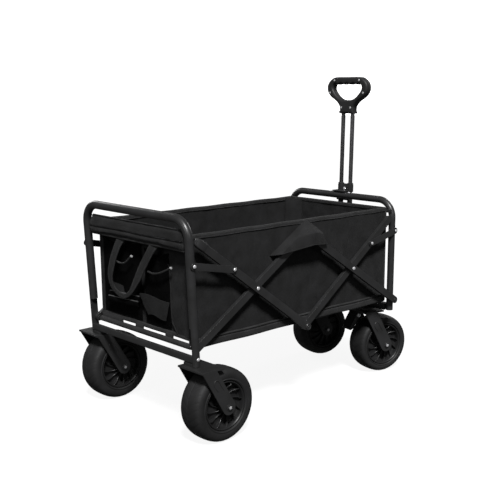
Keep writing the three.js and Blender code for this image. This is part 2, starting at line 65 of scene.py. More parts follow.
SIDES = ((1, "left"), (-1, "right"))

# Sizes shared with the part, in millimetres
TUBE_RADIUS = 11
FRONT_TUBE_RADIUS = 10
BEND_RADIUS = 50
REAR_FRAME = {"top_x": -437.7, "foot_x": -421.4, "y": 217, "top_z": 559.2, "foot_z": 201}
FRONT_FRAME = {"top_x": 332.9, "foot_x": 332.9, "y": 206.7, "top_z": 536.9, "foot_z": 209}
NOTCH_Z = 297
NOTCH_Y = 217.8
REAR_WHEEL = {"radius": 95, "width": 72, "x": -361.14, "y": 223}
FRONT_WHEEL = {"radius": 88, "width": 71}
CASTER = {"x": 311.8, "y": 123, "trail": 57, "yaw": math.radians(-12.8)}
BOLT_FACE = 47
UPPER_JOINT = (-41, 482.2)
LOWER_JOINT = (-41, 231)
REAR_CROSSING = (-224.2, 364.9)
FRONT_CROSSING = (142.2, 364.9)
OUTER_FACE = 228
INNER_FACE = 207.5
HANDLE = {"x": 352, "z": 218, "lean": math.radians(1.3), "rod_y": 18.5}
GRIP = {"low": 569, "high": 674, "half": 80, "shell": 12.5}
WALL_Y = 193
BASKET = {"rear": -406.7, "front": 312.7, "low": 241, "high": 517, "floor": 263}
REAR_WALL_X = -409
FRONT_WALL_X = 315
REAR_BEAM = {"width": 9.8, "height": 18.6, "round": 3, "middle": 9.5, "bend_y": 190}
FLOOR_TUBE_RADIUS = 6
POST_RIVET = (-421.8, 220)
RAIL_RIVET_Y = 38
LINKS = (("rear_link", "rear_strut"), ("front_link", "front_strut"))
LINK_RIVETS = {
    "rear_link": ((-432.75, 450.2), (-307.1, 425.9)),
    "front_link": ((332.9, 450.2), (225.1, 425.9)),
}
# Each ring of the plug: its distance from the crossing pin, and its share of the full section
PLUG_Y = 223
PLUG_RINGS = ((208, 0.9), (210, 1), (232, 1), (240.5, 0.82), (243.6, 0.5))
BEAD_RADIUS = 63.8
TREAD = {"depth": 0.8, "reach": 8, "lean": 30, "groove": 0.12, "middle": 2.2}
FORK_EMBOSS = ((-36, 50), (-45, 62), (-48, 72), (-42, 78), (-34, 75), (-27, 64), (-18, 50))
SPRING = {"x": -34, "y": 21.2, "z": 189, "radius": 4.6, "wire": 0.9, "turns": 7}
GRIP_SCREWS = ((49, 664), (-49, 664), (66, 627), (-66, 627), (18, 583), (-18, 583))
COLLAR = {"width": 44, "height": 46, "z": 329}
HEM = {"y": 195.5, "z": 246.5}
END_WALL_HALF = 192
CORNER_Y = 194
CORNER_CORD = 3.4
PANEL = {"low": 263, "high": 483, "outer": 193, "x": -413.5}
# The strap's line and the two pull tabs; the strap narrows towards the bottom of its loop
STRAP_LINE = (
    (64, 472), (84, 440), (100, 405), (108, 378), (103, 354), (82, 338), (52, 333), (22, 346), (-6, 378),
    (-36, 420), (-76, 472),
)
STRAP_ENDS = ((-434, 55, 486), (-434, -86, 486))
STRAP_WIDTH = {"low": 12, "high": 25, "low_z": 335, "rise": 70}
PULL_TABS = (
    ((-436, 84, 420), (-438, 66, 418), (-437, 44, 422), (-434, 20, 441)),
    ((-434, -50, 412), (-437, -76, 411), (-436, -104, 417), (-430, -138, 433)),
)
POUCH = {"left": 133, "width": 132, "low": 306, "x": -430}
FLAP = {"left": 200, "right": 204.5, "middle_z": 507.5, "half": 24.5, "thick": 5.0, "seam_z": 502.5}
FLAP_STITCH = {"x": -444.6, "rows": (505.6, 499.4)}

# Studio, in metres and watts
WORLD_LIGHT = 0.09
SUN_POWER = 4.6
SUN_FROM = (-1.4, -1.9, 3.1)
SUN_ANGLE = math.radians(10)
LAMP_SIZE = 1.2
LAMPS = (
    ("right", (-0.4, -3.4, 1.7), 6),
    ("rear", (-3.4, -0.5, 1.9), 14),
    ("left", (0.4, 3.4, 1.7), 26),
    ("front", (3.4, 0.6, 1.7), 22),
)
LIT_POINT = (-0.05, 0, 0.35)
BACKDROP_RADIUS = 28

# Camera, in metres, behind the right rear corner
CAMERA_PLACE = (-1.6896, -1.7999, 0.8537)
CAMERA_YAW = math.radians(43.7)
CAMERA_PITCH = math.radians(12.4)
CAMERA_LENS = 62.97
CAMERA_SHIFT = (-0.038, 0.0644)


def linked(name, data):
    """A new object in the scene that holds the data."""
    made = bpy.data.objects.new(name, data)
    bpy.context.scene.collection.objects.link(made)
    return made


def make_camera():
    level = math.cos(CAMERA_PITCH)
    look = Vector((math.sin(CAMERA_YAW) * level, math.cos(CAMERA_YAW) * level, -math.sin(CAMERA_PITCH)))
    data = bpy.data.cameras.new("camera")
    data.lens = CAMERA_LENS
    data.shift_x, data.shift_y = CAMERA_SHIFT
    camera = linked("camera", data)
    camera.location = CAMERA_PLACE
    camera.rotation_euler = look.to_track_quat("-Z", "Y").to_euler()
    bpy.context.scene.camera = camera


make_camera()


# Materials
class Look:
    """A procedural material, with its colour, roughness and relief worked out from position."""

    def __init__(self, name, roughness, metallic=0.0, **sockets):
        self.material = bpy.data.materials.new(name)
        self.material.use_nodes = True
        self.tree = self.material.node_tree
        self.shader = self.tree.nodes["Principled BSDF"]
        self.shader.inputs["Roughness"].default_value = roughness
        self.shader.inputs["Metallic"].default_value = metallic
        for socket, value in sockets.items():
            self.shader.inputs[socket.replace("_", " ")].default_value = value
        self.place = self.tree.nodes.new("ShaderNodeTexCoord").outputs["Object"]
        self.relief = None

    def math(self, operation, a, b=None):
        node = self.tree.nodes.new("ShaderNodeMath")
        node.operation = operation
        for socket, value in zip(node.inputs, (a, b)):
            if value is None:
                continue
            if isinstance(value, (int, float)):
                socket.default_value = value
            else:
                self.tree.links.new(value, socket)
        return node.outputs[0]

    def noise(self, scale, detail=3.0, stretch=(1, 1, 1)):
        mapping = self.tree.nodes.new("ShaderNodeMapping")
        mapping.inputs["Scale"].default_value = stretch
        self.tree.links.new(self.place, mapping.inputs["Vector"])
        node = self.tree.nodes.new("ShaderNodeTexNoise")
        node.inputs["Scale"].default_value = scale
        node.inputs["Detail"].default_value = detail
        self.tree.links.new(mapping.outputs["Vector"], node.inputs["Vector"])
        return node.outputs[0]

    def spread(self, source, low, high):
        node = self.tree.nodes.new("ShaderNodeMapRange")
        node.inputs["From Min"].default_value = 0.3
        node.inputs["From Max"].default_value = 0.7
        node.inputs["To Min"].default_value = low
        node.inputs["To Max"].default_value = high
        self.tree.links.new(source, node.inputs["Value"])
        return node.outputs[0]

    def colour(self, source, dark, light):
        ramp = self.tree.nodes.new("ShaderNodeValToRGB")
        ramp.color_ramp.elements[0].position = 0.3
        ramp.color_ramp.elements[1].position = 0.7
        ramp.color_ramp.elements[0].color = (*dark, 1)
        ramp.color_ramp.elements[1].color = (*light, 1)
        self.tree.links.new(source, ramp.inputs["Fac"])
        self.tree.links.new(ramp.outputs["Color"], self.shader.inputs["Base Color"])
        return self

    def rough(self, source, low, high):
        self.tree.links.new(self.spread(source, low, high), self.shader.inputs["Roughness"])
        return self

    def bump(self, height, strength, depth):
        node = self.tree.nodes.new("ShaderNodeBump")
        node.inputs["Strength"].default_value = strength
        node.inputs["Distance"].default_value = depth
        self.tree.links.new(height, node.inputs["Height"])
        if self.relief is not None:
            self.tree.links.new(self.relief, node.inputs["Normal"])
        self.relief = node.outputs["Normal"]
        self.tree.links.new(self.relief, self.shader.inputs["Normal"])
        return self

    def threads(self, pitch, level=False):
        """The height of a plain weave, pitch metres between threads; level is for cloth that lies flat."""
        split = self.tree.nodes.new("ShaderNodeSeparateXYZ")
        self.tree.links.new(self.place, split.inputs[0])
        x, y, z = split.outputs
        turns = 2 * math.pi / pitch
        along = self.math("SINE", self.math("MULTIPLY", self.math("ADD", x, y), turns))
        across = self.math("SUBTRACT", x, y) if level else z
        across = self.math("SINE", self.math("MULTIPLY", across, turns))
        return self.math("MULTIPLY", along, across)


def grey(value, blue=1.0):
    return (value, value, value * blue)


def hard_look(name, dark, light, rough_low, rough_high, grain, depth, metallic=0.0, stretch=(1, 1, 1),
              **sockets):
    look = Look(name, rough_high, metallic, **sockets)
    look.colour(look.noise(18, 4), grey(dark), grey(light, 1.04))
    look.rough(look.noise(60, 3, stretch), rough_low, rough_high)
    look.bump(look.noise(grain, 2, stretch), 0.35, depth)
    return look.material


def cloth_look(name, dark, light, pitch, relief, level=False, sheen=0.06, rough_low=0.68, rough_high=0.88,
               specular=0.2):
    look = Look(name, rough_high, Sheen_Weight=sheen, Sheen_Roughness=0.45, Specular_IOR_Level=specular)
    look.colour(look.noise(26, 5), grey(dark), grey(light, 1.03))
    look.rough(look.noise(90, 3), rough_low, rough_high)
    look.bump(look.noise(38, 4), 0.5, 0.0012)
    look.bump(look.threads(pitch, level), 0.6, relief)
    return look.material


COAT = hard_look("powder_coat", 0.017, 0.025, 0.30, 0.42, 900, 0.00012, Specular_IOR_Level=0.5,
                 Coat_Weight=0.08, Coat_Roughness=0.25)
PLASTIC = hard_look("moulded_plastic", 0.019, 0.027, 0.4, 0.52, 1400, 0.0001, Specular_IOR_Level=0.25)
RUBBER = hard_look("tyre_rubber", 0.010, 0.017, 0.55, 0.74, 700, 0.0002, Specular_IOR_Level=0.3)
RIM = hard_look("rim_plastic", 0.011, 0.017, 0.34, 0.46, 600, 0.0001, Specular_IOR_Level=0.3)
ZINC = hard_look("zinc_steel", 0.62, 0.78, 0.18, 0.32, 1200, 0.00008, metallic=0.5)
ROD = hard_look("satin_rod", 0.20, 0.28, 0.24, 0.36, 500, 0.00005, metallic=1.0, stretch=(1, 1, 0.04))
CANVAS = cloth_look("canvas", 0.011, 0.019, 0.0011, 0.00025, sheen=0.03, specular=0.12)
CANVAS_LEVEL = cloth_look("canvas_floor", 0.010, 0.017, 0.0011, 0.00025, level=True, sheen=0.03, specular=0.1)
BINDING = cloth_look("binding_tape", 0.016, 0.026, 0.0016, 0.0003, sheen=0.05, rough_low=0.55,
                     rough_high=0.75)
WEBBING = cloth_look("webbing", 0.010, 0.016, 0.0024, 0.0005, sheen=0.05, rough_low=0.45, rough_high=0.62)
MESH = cloth_look("pocket_mesh", 0.0015, 0.0035, 0.0034, 0.0012, sheen=0.0, specular=0.03)
THREAD = cloth_look("thread", 0.05, 0.08, 0.0008, 0.0001)


# Building meshes
def moved(x, y, z):
    return Matrix.Translation((x * MM, y * MM, z * MM))


def between(low, high, share):
    return low + (high - low) * share


def line_of(x, y, z):
    """The points of a line, from a list or one value for each of x, y and z."""
    return np.stack(np.broadcast_arrays(x, y, z), 1).astype(float)


def shade(mesh, material, angle):
    """Smooth shading that keeps edges sharper than angle degrees, in one material."""
    mesh.materials.clear()
    mesh.materials.append(material)
    mesh.shade_smooth()
    mesh.set_sharp_from_angle(angle=math.radians(angle))


class Build:
    """The points (millimetres) and faces of one piece."""

    def __init__(self):
        self.points = []
        self.faces = []

    def add(self, points, faces):
        start = len(self.points)
        self.points += [tuple(p) for p in np.asarray(points, float).reshape(-1, 3)]
        self.faces += [[int(i) + start for i in face] for face in faces]
        return self

    def piece(self, name, material, place=None, angle=35, flat=False):
        mesh = bpy.data.meshes.new(name)
        mesh.from_pydata([Vector(p) * MM for p in self.points], [], self.faces)
        shape = bmesh.new()
        shape.from_mesh(mesh)
        bmesh.ops.recalc_face_normals(shape, faces=shape.faces)
        shape.to_mesh(mesh)
        shape.free()
        if place is not None:
            mesh.transform(place)
        if flat:
            mesh.materials.append(material)
        else:
            shade(mesh, material, angle)
        return linked(name, mesh)


def ring_faces(rings, around, closed_along=False):
    faces = []
    for i in range(rings if closed_along else rings - 1):
        ahead = (i + 1) % rings
        for j in range(around):
            beside = (j + 1) % around
            faces.append([i * around + j, i * around + beside, ahead * around + beside, ahead * around + j])
    return faces


def capped(rings, around):
    """The faces of a skin through rings of points, with both ends closed."""
    last = (rings - 1) * around
    return ring_faces(rings, around) + [list(range(around)), list(range(last, last + around))]


def turned(build, profile, centre, axis="Y", sides=48, closed=False):
    """Adds a profile of (radius, distance along the axis) turned about an axis through centre."""
    angles = 2 * np.pi * np.arange(sides) / sides
    points = []
    for radius, along in profile:
        a, b = radius * np.cos(angles), radius * np.sin(angles)
        level = np.full(sides, float(along))
        ring = (a, level, b) if axis == "Y" else (a, b, level) if axis == "Z" else (level, a, b)
        points.append(np.stack(ring, 1) + np.array(centre, float))
    faces = ring_faces(len(profile), sides, True) if closed else capped(len(profile), sides)
    return build.add(np.concatenate(points), faces)


def swept(build, path, section, up=(0, 0, 1)):
    """Adds a section of (sideways, upwards) points carried along a path.

    A list of sections has one for each point of the path.
    """
    path = np.asarray(path, float)
    tangent = np.gradient(path, axis=0)
    tangent /= np.linalg.norm(tangent, axis=1)[:, None]
    side = np.cross(tangent, np.array(up, float))
    side /= np.linalg.norm(side, axis=1)[:, None]
    above = np.cross(side, tangent)
    sections = section if isinstance(section[0], list) else [section] * len(path)
    rings = [p + np.outer([a for a, _ in one], s) + np.outer([b for _, b in one], n)
             for p, s, n, one in zip(path, side, above, sections)]
    return build.add(np.concatenate(rings), capped(len(rings), len(sections[0])))


def circle(radius, sides=28):
    return [(radius * math.cos(2 * math.pi * i / sides), radius * math.sin(2 * math.pi * i / sides))
            for i in range(sides)]


def rounded(width, height, radius, steps=4):
    """A rectangle of that width and height with round corners, as a section."""
    points = []
    corners = ((1, 1, 0), (-1, 1, 90), (-1, -1, 180), (1, -1, 270))
    for a, b, turn in corners:
        for i in range(steps + 1):
            angle = math.radians(turn + 90 * i / steps)
            points.append((a * (width / 2 - radius) + radius * math.cos(angle),
                           b * (height / 2 - radius) + radius * math.sin(angle)))
    return points


def smooth_line(points, steps=8):
    """Points on a smooth curve through the given points."""
    p = np.asarray(points, float)
    p = np.vstack([2 * p[0] - p[1], p, 2 * p[-1] - p[-2]])
    line = []
    for i in range(1, len(p) - 2):
        for t in np.arange(steps) / steps:
            a, b, c, d = p[i - 1], p[i], p[i + 1], p[i + 2]
            line.append(0.5 * (2 * b + (c - a) * t + (2 * a - 5 * b + 4 * c - d) * t**2
                               + (3 * b - a - 3 * c + d) * t**3))
    line.append(p[-2])
    return np.array(line)


def sheet(build, surface, columns, rows, thickness):
    """Adds a closed sheet about the middle surface that surface(u, v) gives."""
    u, v = np.meshgrid(np.linspace(0, 1, columns + 1), np.linspace(0, 1, rows + 1))
    middle = np.stack(np.broadcast_arrays(*surface(u, v)), -1).astype(float)
    normal = np.cross(np.gradient(middle, axis=1), np.gradient(middle, axis=0))
    normal /= np.maximum(np.linalg.norm(normal, axis=-1, keepdims=True), 1e-9)
    front = (middle + normal * thickness / 2).reshape(-1, 3)
    back = (middle - normal * thickness / 2).reshape(-1, 3)
    wide = columns + 1
    count = wide * (rows + 1)
    faces = []
    for r in range(rows):
        for c in range(columns):
            a = r * wide + c
            faces.append([a, a + 1, a + wide + 1, a + wide])
            faces.append([count + a + wide, count + a + wide + 1, count + a + 1, count + a])
    border = [c for c in range(wide)]
    border += [r * wide + columns for r in range(1, rows + 1)]
    border += [rows * wide + c for c in range(columns - 1, -1, -1)]
    border += [r * wide for r in range(rows - 1, 0, -1)]
    for i, here in enumerate(border):
        after = border[(i + 1) % len(border)]
        faces.append([here, after, count + after, count + here])
    return build.add(np.vstack([front, back]), faces)


def ripple(a, b, seed, reach):
    """Soft uneven folds between about -1 and 1, over a length of reach."""
    total = 0
    for k in range(5):
        angle = seed * 1.7 + k * 2.4
        total = total + np.sin((1 + 0.55 * k) / reach * 2 * np.pi * (a * np.cos(angle) + b * np.sin(angle))
                               + seed * 3.1 * (k + 1)) / (1 + 0.6 * k)
    return total / 2.2


def stitches(build, path, normal, pitch=6.0, length=3.8, thickness=0.9):
    """Adds a row of thread stitches along a path, standing on a surface with that normal."""
    path = np.asarray(path, float)
    steps = np.concatenate([[0], np.cumsum(np.linalg.norm(np.diff(path, axis=0), axis=1))])
    normal = np.array(normal, float)
    for at in np.arange(pitch, steps[-1] - length, pitch):
        ends = [np.array([np.interp(s, steps, path[:, k]) for k in range(3)]) for s in (at, at + length)]
        along = (ends[1] - ends[0]) / np.linalg.norm(ends[1] - ends[0])
        side = np.cross(along, normal)
        side /= np.linalg.norm(side)
        rings = []
        for share, size in ((0, 0.25), (0.2, 0.5), (0.8, 0.5), (1, 0.25)):
            centre = ends[0] + (ends[1] - ends[0]) * share
            rings += [centre + thickness * size * (side * math.cos(q) + normal * math.sin(q))
                      for q in np.arange(5) * 2 * math.pi / 5]
        build.add(rings, capped(4, 5))
    return build


def put(obj, body, slot, *nodes):
    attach(obj, body)
    if nodes:
        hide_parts(*nodes)
    return obj


def refined(node, material, body, slot, width=1.0, segments=3):
    """A new piece with a CAD node's shape and rounded edges, which stands for that node."""
    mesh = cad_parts[node].data.copy()
    shape = bmesh.new()
    shape.from_mesh(mesh)
    bmesh.ops.remove_doubles(shape, verts=shape.verts, dist=1e-6)
    bmesh.ops.dissolve_limit(shape, angle_limit=math.radians(1), verts=shape.verts, edges=shape.edges)
    bmesh.ops.recalc_face_normals(shape, faces=shape.faces)
    shape.to_mesh(mesh)
    shape.free()
    shade(mesh, material, 35)
    made = linked(node + "_detailed", mesh)
    bevel = made.modifiers.new("edges", "BEVEL")
    bevel.width = width * MM
    bevel.segments = segments
    bevel.limit_method = "ANGLE"
    bevel.angle_limit = math.radians(40)
    bevel.harden_normals = True
    return put(made, body, slot, node)


def rod(radius, low, high):
    """The profile of a rod with its ends broken by 1 mm."""
    return [(radius - 1, low), (radius, low + 1), (radius, high - 1), (radius - 1, high)]


def dome(build, x, z, face, outward, radius=6.5, height=3.0, sides=28):
    """Adds a domed rivet head on a face that looks along plus or minus Y."""
    profile = [(radius, 0), (radius, height * 0.2)]
    for angle in np.radians((20, 40, 60, 75, 88)):
        profile.append((radius * math.cos(angle), height * (0.2 + 0.8 * math.sin(angle))))
    turned(build, [(r, outward * h) for r, h in profile], (x, face, z), sides=sides)


# Frames
def frame_stations(size, low, steps=14):
    """The middle line of a bent frame tube, from one leg's low end over the top to the other's."""
    run = size["top_x"] - size["foot_x"]

    def lean(z):
        return size["foot_x"] + run * (z - size["foot_z"]) / (size["top_z"] - size["foot_z"])
    corner = size["y"] - BEND_RADIUS
    below = size["top_z"] - BEND_RADIUS
    angles = np.radians(np.linspace(0, 90, steps + 1))
    half = [(lean(z), size["y"], z) for z in np.linspace(low, below, 12)[:-1]]
    half += [(lean(below + BEND_RADIUS * math.sin(a)), corner + BEND_RADIUS * math.cos(a),
              below + BEND_RADIUS * math.sin(a)) for a in angles]
    return half + [(x, -y, z) for x, y, z in reversed(half)]


def make_frames():
    rear = swept(Build(), frame_stations(REAR_FRAME, NOTCH_Z), circle(TUBE_RADIUS), up=(1, 0, 0))
    legs = Build()
    for side, _ in SIDES:
        low = REAR_FRAME["foot_z"]
        rise = (NOTCH_Z - low) / (REAR_FRAME["top_z"] - low)
        top_x = REAR_FRAME["foot_x"] + (REAR_FRAME["top_x"] - REAR_FRAME["foot_x"]) * rise
        outer = [(a, b) for a, b in circle(TUBE_RADIUS, 56) if a > NOTCH_Y - REAR_FRAME["y"]]
        outer.sort(key=lambda p: math.atan2(p[1], p[0]))
        points = [(x + b, side * (REAR_FRAME["y"] + a), z)
                  for x, z in ((REAR_FRAME["foot_x"], low), (top_x, NOTCH_Z)) for a, b in outer]
        legs.add(points, capped(2, len(outer)))
    put(rear.piece("rear_frame_tube", COAT), "chassis", "coat", "rear_frame")
    put(legs.piece("rear_frame_legs", COAT), "chassis", "coat")
    stations = frame_stations(FRONT_FRAME, FRONT_FRAME["foot_z"])
    front = swept(Build(), stations, circle(FRONT_TUBE_RADIUS), up=(1, 0, 0))
    put(front.piece("front_frame_tube", COAT), "front_end", "coat", "front_frame")
    low, high = (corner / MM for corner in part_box("rear_beam"))
    stops = (low.y, -REAR_BEAM["bend_y"], REAR_BEAM["bend_y"], high.y)
    path = [((low.x + high.x) / 2, y, low.z + REAR_BEAM["middle"]) for y in stops]
    beam = swept(Build(), path, rounded(REAR_BEAM["width"], REAR_BEAM["height"], REAR_BEAM["round"]))
    put(beam.piece("rear_beam_rounded", COAT), "chassis", "coat", "rear_beam")
    refined("front_beam", COAT, "front_end", "coat", 1.2)
    for node, body in (("rear_floor_tube", "chassis"), ("front_floor_tube", "front_end")):
        low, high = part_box(node)
        x, z = (low.x + high.x) / 2 / MM, (low.z + high.z) / 2 / MM
        tube = turned(Build(), rod(FLOOR_TUBE_RADIUS, low.y / MM, high.y / MM), (x, 0, z))
        put(tube.piece(node + "_round", COAT), body, "coat", node)
    rivets = Build()
    for side, _ in SIDES:
        face = side * (REAR_FRAME["y"] + TUBE_RADIUS - 0.6)
        dome(rivets, *POST_RIVET, face, side, 4.6, 3)
    put(rivets.piece("rear_post_rivets", ZINC), "chassis", "steel")
    top = Build()
    crown = FRONT_FRAME["top_z"] + FRONT_TUBE_RADIUS - 0.3
    for y in (-RAIL_RIVET_Y, RAIL_RIVET_Y):
        turned(top, [(3.6, 0), (3.6, 0.6), (3.0, 1.6), (1.6, 2.3), (0.3, 2.5)],
               (FRONT_FRAME["top_x"] - 1, y, crown), axis="Z", sides=20)
    put(top.piece("front_rail_rivets", ZINC), "front_end", "steel")


# Scissor sides
def make_scissor():
    for side, label in SIDES:
        for node in ("rear_lower_bar", "rear_upper_bar", "front_lower_bar", "front_upper_bar"):
            refined(f"{node}_{label}", COAT, f"{node[:-4]}_{label}", "coat", 2.4)
        for node, body in LINKS:
            refined(f"{node}_{label}", COAT, f"{body}_{label}", "coat", 0.8)
        for node, (x, z), body in (("rear_crossing_pin", REAR_CROSSING, "rear_lower"),
                                   ("front_crossing_pin", FRONT_CROSSING, "front_lower"),
                                   ("upper_joint_pin", UPPER_JOINT, "rear_lower")):
            pin = Build()
            turned(pin, [(3, INNER_FACE * side), (3, OUTER_FACE * side)], (x, 0, z), sides=16)
            dome(pin, x, z, side * (OUTER_FACE - 0.3), side, 5.0, 2.8)
            dome(pin, x, z, side * (INNER_FACE + 0.3), -side, 5.0, 2.8)
            put(pin.piece(f"{node}_{label}_domed", ZINC), f"{body}_{label}", "steel", f"{node}_{label}")
        boss = Build()
        profile = ((9.5, 0), (9.5, 2.2), (8.6, 3.2), (6.2, 3.4), (5.8, 2.6), (3.2, 2.6), (2.6, 3.6),
                   (0.4, 3.8))
        turned(boss, [(r, side * h) for r, h in profile],
               (LOWER_JOINT[0], side * (OUTER_FACE - 0.2), LOWER_JOINT[1]), sides=40)
        put(boss.piece(f"lower_joint_boss_{label}", COAT), f"rear_upper_{label}", "coat")
        for node, body in LINKS:
            low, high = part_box(f"{node}_{label}")
            face = (high.y if side > 0 else -low.y) / MM
            rivets = Build()
            for x, z in LINK_RIVETS[node]:
                dome(rivets, x, z, side * (face - 0.4), side, 4.6, 2.6)
            put(rivets.piece(f"{node}_rivets_{label}", ZINC), f"{body}_{label}", "steel")
        # Moulded plug on the free rear end of the long bar
        angle = math.atan2(REAR_CROSSING[1] - LOWER_JOINT[1], LOWER_JOINT[0] - REAR_CROSSING[0])
        along = np.array([-math.cos(angle), 0, math.sin(angle)])
        start = np.array([REAR_CROSSING[0], side * PLUG_Y, REAR_CROSSING[1]])
        sections = [[(a * share, b * share) for a, b in rounded(12.4, 22.4, 3)] for _, share in PLUG_RINGS]
        plug = swept(Build(), [start + along * reach for reach, _ in PLUG_RINGS], sections)
        put(plug.piece(f"rear_bar_plug_{label}", PLASTIC, angle=50), f"rear_upper_{label}", "plastic")


# Wheels, with half profiles as (radius, distance from the middle) at the rear wheel's size
TYRE_HALF = (
    (BEAD_RADIUS, 31.0), (64.4, 33.6), (66.0, 34.9), (67.4, 36.1), (68.8, 35.2), (70.2, 34.8), (73, 35.6),
    (77, 36.0), (81, 35.7), (85, 34.4), (88.5, 32.0), (91.2, 28.4), (93.0, 23.6), (94.2, 17.5), (94.8, 10.5),
    (95, 4), (95, 0),
)
CHEVRONS = 30
STEPS_PER_CHEVRON = 14


def tyre_points(radius, width):
    scale = (radius - BEAD_RADIUS) / (REAR_WHEEL["radius"] - BEAD_RADIUS)
    half = [(BEAD_RADIUS + (r - BEAD_RADIUS) * scale, y * width / REAR_WHEEL["width"]) for r, y in TYRE_HALF]
    fine = smooth_line(half, 2)
    profile = np.vstack([fine, [(r, -y) for r, y in fine[-2::-1]]])
    sides = CHEVRONS * STEPS_PER_CHEVRON
    angles = 2 * np.pi * np.arange(sides) / sides
    reach = np.clip((profile[:, 0] - (radius - TREAD["reach"])) / 3.0, 0, 1)
    lean = np.abs(profile[:, 1]) / TREAD["lean"]
    phase = (angles[None, :] * CHEVRONS / (2 * np.pi) + lean[:, None]) % 1.0
    groove = np.clip(1 - np.abs(phase - 0.5) / TREAD["groove"], 0, 1)
    groove = groove * groove * (3 - 2 * groove)
    middle = np.clip(1 - np.abs(profile[:, 1]) / TREAD["middle"], 0, 1)[:, None]
    depth = TREAD["depth"] * np.maximum(groove, middle) * reach[:, None]
    r = profile[:, 0][:, None] - depth
    across = np.broadcast_to(profile[:, 1][:, None], r.shape)
    ring = np.stack([r * np.cos(angles), across, r * np.sin(angles)], -1)
    return ring.reshape(-1, 3), ring_faces(len(profile), sides, closed_along=True)


RIM_HALF = (
    (6.6, 34.6), (15.2, 34.8), (16.6, 33.8), (17.2, 31), (18.0, 24), (20.5, 20.5), (26, 18.4), (46, 16.6),
    (52, 17.0), (55.6, 19.0), (57.0, 22), (57.6, 28.5), (58.6, 31.6), (60.4, 33.4), (62.0, 33.2),
    (63.0, 31.6), (63.0, 20),
)
RIB_COUNT = 12
RIB_SWIRL = math.radians(26)
RIB_THICKNESS = 2.3
RIB_LOW = 5
RIB_HIGH = 30


def rim_build(width):
    scale = width / REAR_WHEEL["width"]
    half = [(r, y * scale) for r, y in RIM_HALF]
    profile = half + [(r, -y) for r, y in reversed(half)]
    build = turned(Build(), profile, (0, 0, 0), sides=96, closed=True)
    radii = np.linspace(16.8, 57.6, 9)
    for face in (1, -1):
        for i in range(RIB_COUNT):
            points = []
            for j, r in enumerate(radii):
                share = j / (len(radii) - 1)
                angle = 2 * math.pi * i / RIB_COUNT + face * RIB_SWIRL * share**1.2
                top = (RIB_HIGH - 7 * math.sin(math.pi * min(1.0, share * 1.15)) - 1.5 * share) * scale
                wide = RIB_THICKNESS / 2 / r
                for turn, high in ((-wide, RIB_LOW), (-wide, top), (-wide * 0.4, top + 0.7),
                                   (wide * 0.4, top + 0.7), (wide, top), (wide, RIB_LOW)):
                    points.append((r * math.cos(angle + turn), face * high, r * math.sin(angle + turn)))
            build.add(points, capped(len(radii), 6))
    return build


def bolt_builds():
    """The dark washers and nuts of an axle, and its bright bolt ends."""
    nuts, ends = Build(), Build()
    turned(nuts, [(6, -BOLT_FACE - 1), (6, BOLT_FACE + 1)], (0, 0, 0), sides=24)
    for face in (1, -1):
        base = face * (BOLT_FACE + 0.3)
        turned(nuts, [(9.4, base), (9.4, base + face), (8.8, base + face * 1.3)], (0, 0, 0), sides=32)
        turned(nuts, [(7.2, base + face * 1.2), (7.6, base + face * 1.7), (7.6, base + face * 3.4),
                      (6.8, base + face * 4.2)], (0, 0, 0), sides=6)
        turned(ends, [(4.2, base + face * 4.0), (4.2, base + face * 4.6), (3.2, base + face * 5.0)],
               (0, 0, 0), sides=24)
    return nuts, ends


def make_wheel(wheel, label, place, axle_z, names, bodies):
    """One wheel with its tyre, rim, bolt and fork; place carries the axle's own frame to the wagon's."""
    points, faces = tyre_points(wheel["radius"], wheel["width"])
    whole = place @ moved(0, 0, axle_z)
    tyre = Build().add(points, faces).piece(f"{names}_tyre_{label}_tread", RUBBER, whole, angle=28)
    put(tyre, bodies["wheel"], "tyre", f"{names}_tyre_{label}")
    rim = rim_build(wheel["width"]).piece(f"{names}_rim_{label}_ribbed", RIM, whole)
    put(rim, bodies["wheel"], "rim", f"{names}_rim_{label}")
    nuts, ends = bolt_builds()
    nuts = nuts.piece(f"{names}_axle_bolt_{label}_nuts", COAT, whole)
    put(nuts, bodies["fork"], "coat", f"{names}_axle_bolt_{label}")
    put(ends.piece(f"{names}_axle_bolt_{label}_ends", ZINC, whole), bodies["fork"], "steel")
    refined(f"{names}_fork_{label}", COAT, bodies["fork"], "coat", 1.1)
    emboss = Build()
    for face in (1, -1):
        y = face * (BOLT_FACE + 0.2)
        line = [(x, y, z) for x, z in FORK_EMBOSS]
        swept(emboss, smooth_line(line, 6), circle(1.3, 10), up=(0, 1, 0))
    put(emboss.piece(f"{names}_fork_{label}_emboss", COAT, whole), bodies["fork"], "coat")


